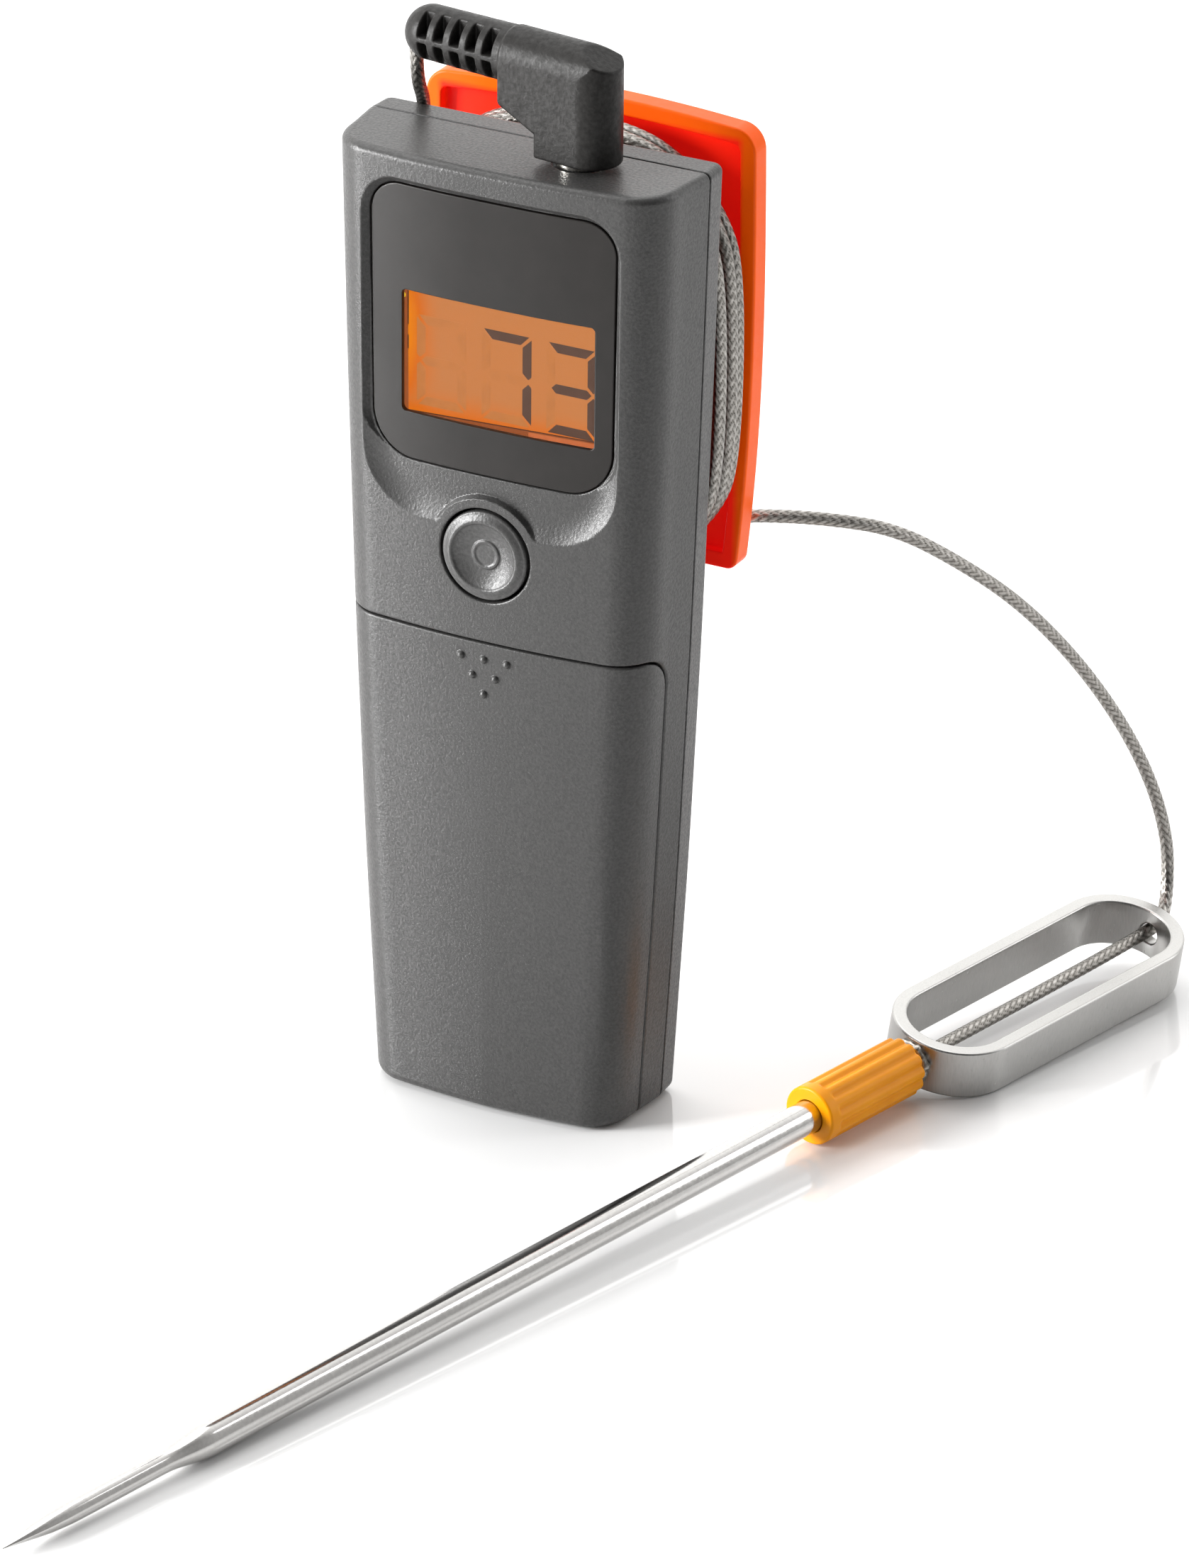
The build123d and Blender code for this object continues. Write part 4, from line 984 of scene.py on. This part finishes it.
def plug_at(x, y, z):
    """The plug in row coordinates."""
    u = (x - JACK[0]) * math.cos(pt) + (y - JACK[1]) * math.sin(pt)
    v = -(x - JACK[0]) * math.sin(pt) + (y - JACK[1]) * math.cos(pt)
    d = plug_form(u, v, z)
    return d


plug = solid_of("plug_moulding", plug_form, grid_steps((-24.6, -9.0, 0.16), (-9.0, 5.6, 0.18)), grid_steps((-3.8, 3.8, 0.16)),
                grid_steps((119.3, 122.8, 0.17), (122.8, 126.0, 0.22), (126.0, 133.9, 0.15)), M_PLUG,
                place=(np.array([JACK[0], JACK[1], 0.0]), PLUG_AXES))
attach(plug, "plug"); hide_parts("plug_body")


# ------------------------------------------------------------------ spool flange
def flange_pts():
    zt, zb = 120.2, 64.5
    right = [(21.5, zt - 3.6), (21.65, 97.0), (21.45, 87.0), (20.6, 72.0), (20.0, zb + 1.4)]
    zz = np.linspace(zt - 3.6, zb + 1.4, 60)
    cs = np.polyfit([p[1] for p in right], [p[0] for p in right], 3)
    side = [(float(np.polyval(cs, z)), float(z)) for z in zz]
    top = arc3((-18.4, zt - 0.5), (0, zt + 0.3), (18.4, zt - 0.5), 40)
    c1 = arc3((18.4, zt - 0.5), (20.7, zt - 1.45), side[0], 12)
    b1 = arc3(side[-1], (19.55, zb + 0.4), (18.6, zb), 8)
    half = list(map(tuple, top[20:])) + list(map(tuple, c1[1:])) + side[1:] + list(map(tuple, b1[1:]))
    return np.array(half + [(-x, z) for x, z in half[::-1]])


FLANGE = Outline(flange_pts(), -24, 24, 62, 123, 0.15)


def flange_form(x, y, z):
    o = FLANGE(x, z)
    d = inter(o, y - 19.6, 0.35)
    d = inter(d, 16.6 - y, 0.3)
    d = cut(d, np.maximum(inter(o + 2.0, y - 18.1, 0.5), 14.0 - y), 0.2)
    notch = rect2(x, z, 2.0, 64.9, 10.0, 3.6, 2.0)
    d = cut(d, np.maximum(notch, np.abs(y - 18) - 4), 0.3)
    for cz in (SPOOL_Z - 6.0, SPOOL_Z + 6.0):
        r = np.hypot(x, z - cz)
        d = np.maximum(d, -(r - 1.3))
        d = cut(d, np.maximum(r - 2.2, 18.7 - y), 0.12)
    return d


flange = solid_of("spool_plate", flange_form, grid_steps((-22.3, -17.0, 0.17), (-17.0, -3.0, 0.5), (-3.0, 3.0, 0.2), (3.0, 17.0, 0.5), (17.0, 22.3, 0.17)),
                  grid_steps((16.3, 19.9, 0.15)),
                  grid_steps((64.0, 70.0, 0.17), (70.0, 83.0, 0.5), (83.0, 100.0, 0.25), (100.0, 114.5, 0.5), (114.5, 121.0, 0.17)), M_ORANGE)
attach(flange, "display_unit"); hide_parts("spool_flange")

# ------------------------------------------------------------------ probe
P_AT = np.array([37.9, 2.5, 3.75])
pa, pr, ro = math.radians(75.5), math.radians(1.09), math.radians(9.7)
LX = np.array([math.cos(pa) * math.cos(pr), math.sin(pa) * math.cos(pr), math.sin(pr)])
LY0 = np.array([-math.sin(pa), math.cos(pa), 0.0])
LZ0 = np.cross(LX, LY0)
LZ = LZ0 * math.cos(ro) - LY0 * math.sin(ro)
LY = np.cross(LZ, LX)
PROBE_AXES = np.stack([LX, LY, LZ])
PROBE = (P_AT, PROBE_AXES)
L0, LL, LW, LH, LT = 18.5, 46.4, 15.7, 6.3, 1.8


def loop_form(x, y, z):
    hx = LL / 2 - LW / 2
    u = np.maximum(np.abs(x - (L0 + LL / 2)) - hx, 0)
    d = np.abs(np.hypot(u, y) - (LW / 2 - LT / 2)) - LT / 2
    d = inter(d, np.abs(z) - LH / 2, 0.28)
    hole = np.maximum(np.hypot(y, z) - 1.35, (L0 + LL / 2) - x)
    d = cut(d, hole, 0.2)
    hole = np.maximum(np.hypot(y, z) - 1.98, x - (L0 + LL / 2))
    return np.maximum(d, -hole)


loop = solid_of("finger_ring", loop_form, grid_steps((18.2, 27.5, 0.2), (27.5, 55.6, 0.8), (55.6, 65.2, 0.2)), grid_steps((-8.1, -5.6, 0.2), (-5.6, 5.6, 0.2), (5.6, 8.1, 0.2)),
                grid_steps((-3.4, -2.6, 0.14), (-2.6, 2.6, 0.24), (2.6, 3.4, 0.14)), M_LOOP, place=PROBE)
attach(loop, "display_unit"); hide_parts("finger_loop")

# shaft with its drawn neck, slim tip and ground point
sp = [(-131.9, 0.0), (-131.86, 0.06), (-131.6, 0.13)]
sp += [(x, r) for x, r in ((-131.0, 0.24), (-129.0, 0.60), (-127.0, 0.90), (-125.0, 1.12), (-123.0, 1.22), (-121.6, 1.25))]
sp += [(x, 1.25) for x in np.linspace(-119, -108.6, 6)]
for t in np.linspace(0, 1, 13):
    s = t * t * (3 - 2 * t)
    sp.append((-107.6 + 6.9 * t, 1.25 + 0.75 * s))
sp += [(x, 2.0) for x in np.linspace(-100, 18.0, 60)] + [(18.7, 2.0), (20.2, 1.99), (20.25, 1.9), (20.25, 0.9), (19.5, 0.85), (15.0, 0.85), (14.9, 0.0)]


def facets(T, a, r):
    """Three shallow ground faces at the point."""
    w = np.clip((-121.0 - a) / 8.0, 0, 1)
    return a, r * (1 - 0.14 * w * np.abs(np.sin(1.5 * T + 0.4)) ** 1.2)


shaft = lathe("probe_shaft", sp, P_AT, LX, 96, M_SHAFT, facets)
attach(shaft, "display_unit"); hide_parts("probe_tube")


# silicone sleeve: shallow flutes, plain end rings, bore
def sleeve_form(x, y, z):
    r = np.hypot(y, z)
    th = np.arctan2(z, y)
    w = np.clip((x - 1.5) / 0.5, 0, 1) * np.clip((17.6 - x) / 0.5, 0, 1)
    flute = 0.5 + 0.5 * np.cos(12 * th)
    outer = 3.66 - 0.34 * w * flute ** 1.6 - 0.10 * (1 - w) * 0
    seam = 0.05 * np.exp(-((np.abs(np.sin(th - 0.9)) / 0.05) ** 2))
    d = r - outer - seam
    d = inter(d, -x, 0.35)
    d = inter(d, x - 17.0, 0.35)
    return cut(d, np.maximum(r - 2.05, np.abs(x - 8.5) - 12), 0.15)


sleeve = solid_of("grip_sleeve", sleeve_form, grid_steps((-0.4, 2.4, 0.14), (2.4, 16.2, 0.6), (16.2, 17.4, 0.14)), grid_steps((-3.9, 3.9, 0.13)), grid_steps((-3.9, 3.9, 0.13)), M_SILICONE, place=PROBE)
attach(sleeve, "sleeve"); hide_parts("silicone_sleeve")


def bead_form(x, y, z):
    th = np.arctan2(z, y)
    r = np.hypot(y, z)
    lump = 0.10 * np.sin(7 * th + 0.6) + 0.07 * np.sin(13 * th + 2.0)
    d = np.hypot(x - 18.25, r - 2.25) - 0.55 - lump
    d = np.minimum(d, np.maximum(r - 2.55 - lump, np.abs(x - 18.35) - 0.4))
    return np.maximum(d, -(r - 2.0))


bead = solid_of("weld", bead_form, grid_steps((17.3, 19.3, 0.1)), grid_steps((-3.2, 3.2, 0.12)), grid_steps((-3.2, 3.2, 0.12)), M_WELD, place=PROBE)
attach(bead, "display_unit"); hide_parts("weld_bead")

# ------------------------------------------------------------------ CAD nodes that stay
keep = {"lcd_panel": M_LCD, "light_guide": M_WHITE, "backlight_led": M_LED, "lcd_holder": M_WHITE, "zebra_strip": M_DARK, "circuit_board": M_BOARD,
        "tact_switch": M_DARK, "jack_socket": M_DARK, "battery_cell_left": M_CELL, "battery_cell_right": M_CELL, "contact_bridge": M_NICKEL,
        "contact_positive": M_NICKEL, "contact_negative": M_NICKEL, "spool_hub": M_HUB, "hub_screws": M_SCREW,
        "flange_screws": M_SCREW, "plug_collar": M_NICKEL, "plug_insulator": M_DARK, "plug_tip": M_NICKEL, "thermistor": M_CERAMIC}
for n, mat in keep.items():
    me = nodes[n].data
    me.materials.clear()
    me.materials.append(mat)

# ------------------------------------------------------------------ stage and light
floor = new_mesh("floor", [(-6, -6, 0), (6, -6, 0), (6, 6, 0), (-6, 6, 0)], np.array([[0, 1, 2, 3]]), smooth=False)
fm, fnt, fb = material("floor_pale")
fnt.links.new(ramp(fnt, noise(fnt, 3.0), [(0.3, (0.83, 0.83, 0.83)), (0.7, (0.85, 0.85, 0.85))]), fb.inputs["Base Color"])
fb.inputs["Roughness"].default_value = 0.07
fb.inputs["IOR"].default_value = 1.75
floor.data.materials.append(fm)
floor.location.z = -0.0002

world = bpy.data.worlds.new("world")
bpy.context.scene.world = world
world.use_nodes = True
wnt = world.node_tree
bg = wnt.nodes["Background"]
way = wnt.nodes.new("ShaderNodeTexCoord").outputs["Generated"]


def toward(direction, a, b, c, d):
    n = wnt.nodes.new("ShaderNodeVectorMath")
    n.operation = "DOT_PRODUCT"
    wnt.links.new(way, n.inputs[0])
    n.inputs[1].default_value = Vector(direction).normalized()
    r = wnt.nodes.new("ShaderNodeMapRange")
    r.interpolation_type = "SMOOTHSTEP"
    wnt.links.new(n.outputs["Value"], r.inputs[0])
    for k, v in enumerate((a, b, c, d)):
        r.inputs[k + 1].default_value = v
    return r.outputs[0]


bg.inputs[0].default_value = (1, 0.995, 0.985, 1)
wnt.links.new(math_node(wnt, "ADD", toward((-0.75, 0.55, 0.30), -0.2, 0.95, 0.08, 1.8), toward((0.6, 0.75, 0.2), 0.3, 0.95, 0.0, 0.5)), bg.inputs[1])


def area(name, at, look, w, h, radiance, color=(1, 1, 1)):
    ld = bpy.data.lights.new(name, "AREA")
    ld.shape = "RECTANGLE"
    ld.size, ld.size_y = w, h
    ld.energy = radiance * math.pi * w * h
    ld.color = color
    ob = bpy.data.objects.new(name, ld)
    bpy.context.scene.collection.objects.link(ob)
    ob.location = at
    ob.rotation_euler = (Vector(look) - Vector(at)).to_track_quat("-Z", "Y").to_euler()
    return ob


area("strip_left", (-1.02, -0.80, 0.40), (0, 0, 0.07), 0.42, 0.76, 40.0)
area("top", (-0.25, 0.25, 1.25), (0, 0, 0.05), 1.1, 1.1, 1.7)
area("rim_right", (0.75, 0.55, 0.40), (0, 0, 0.07), 0.22, 0.8, 4.0)
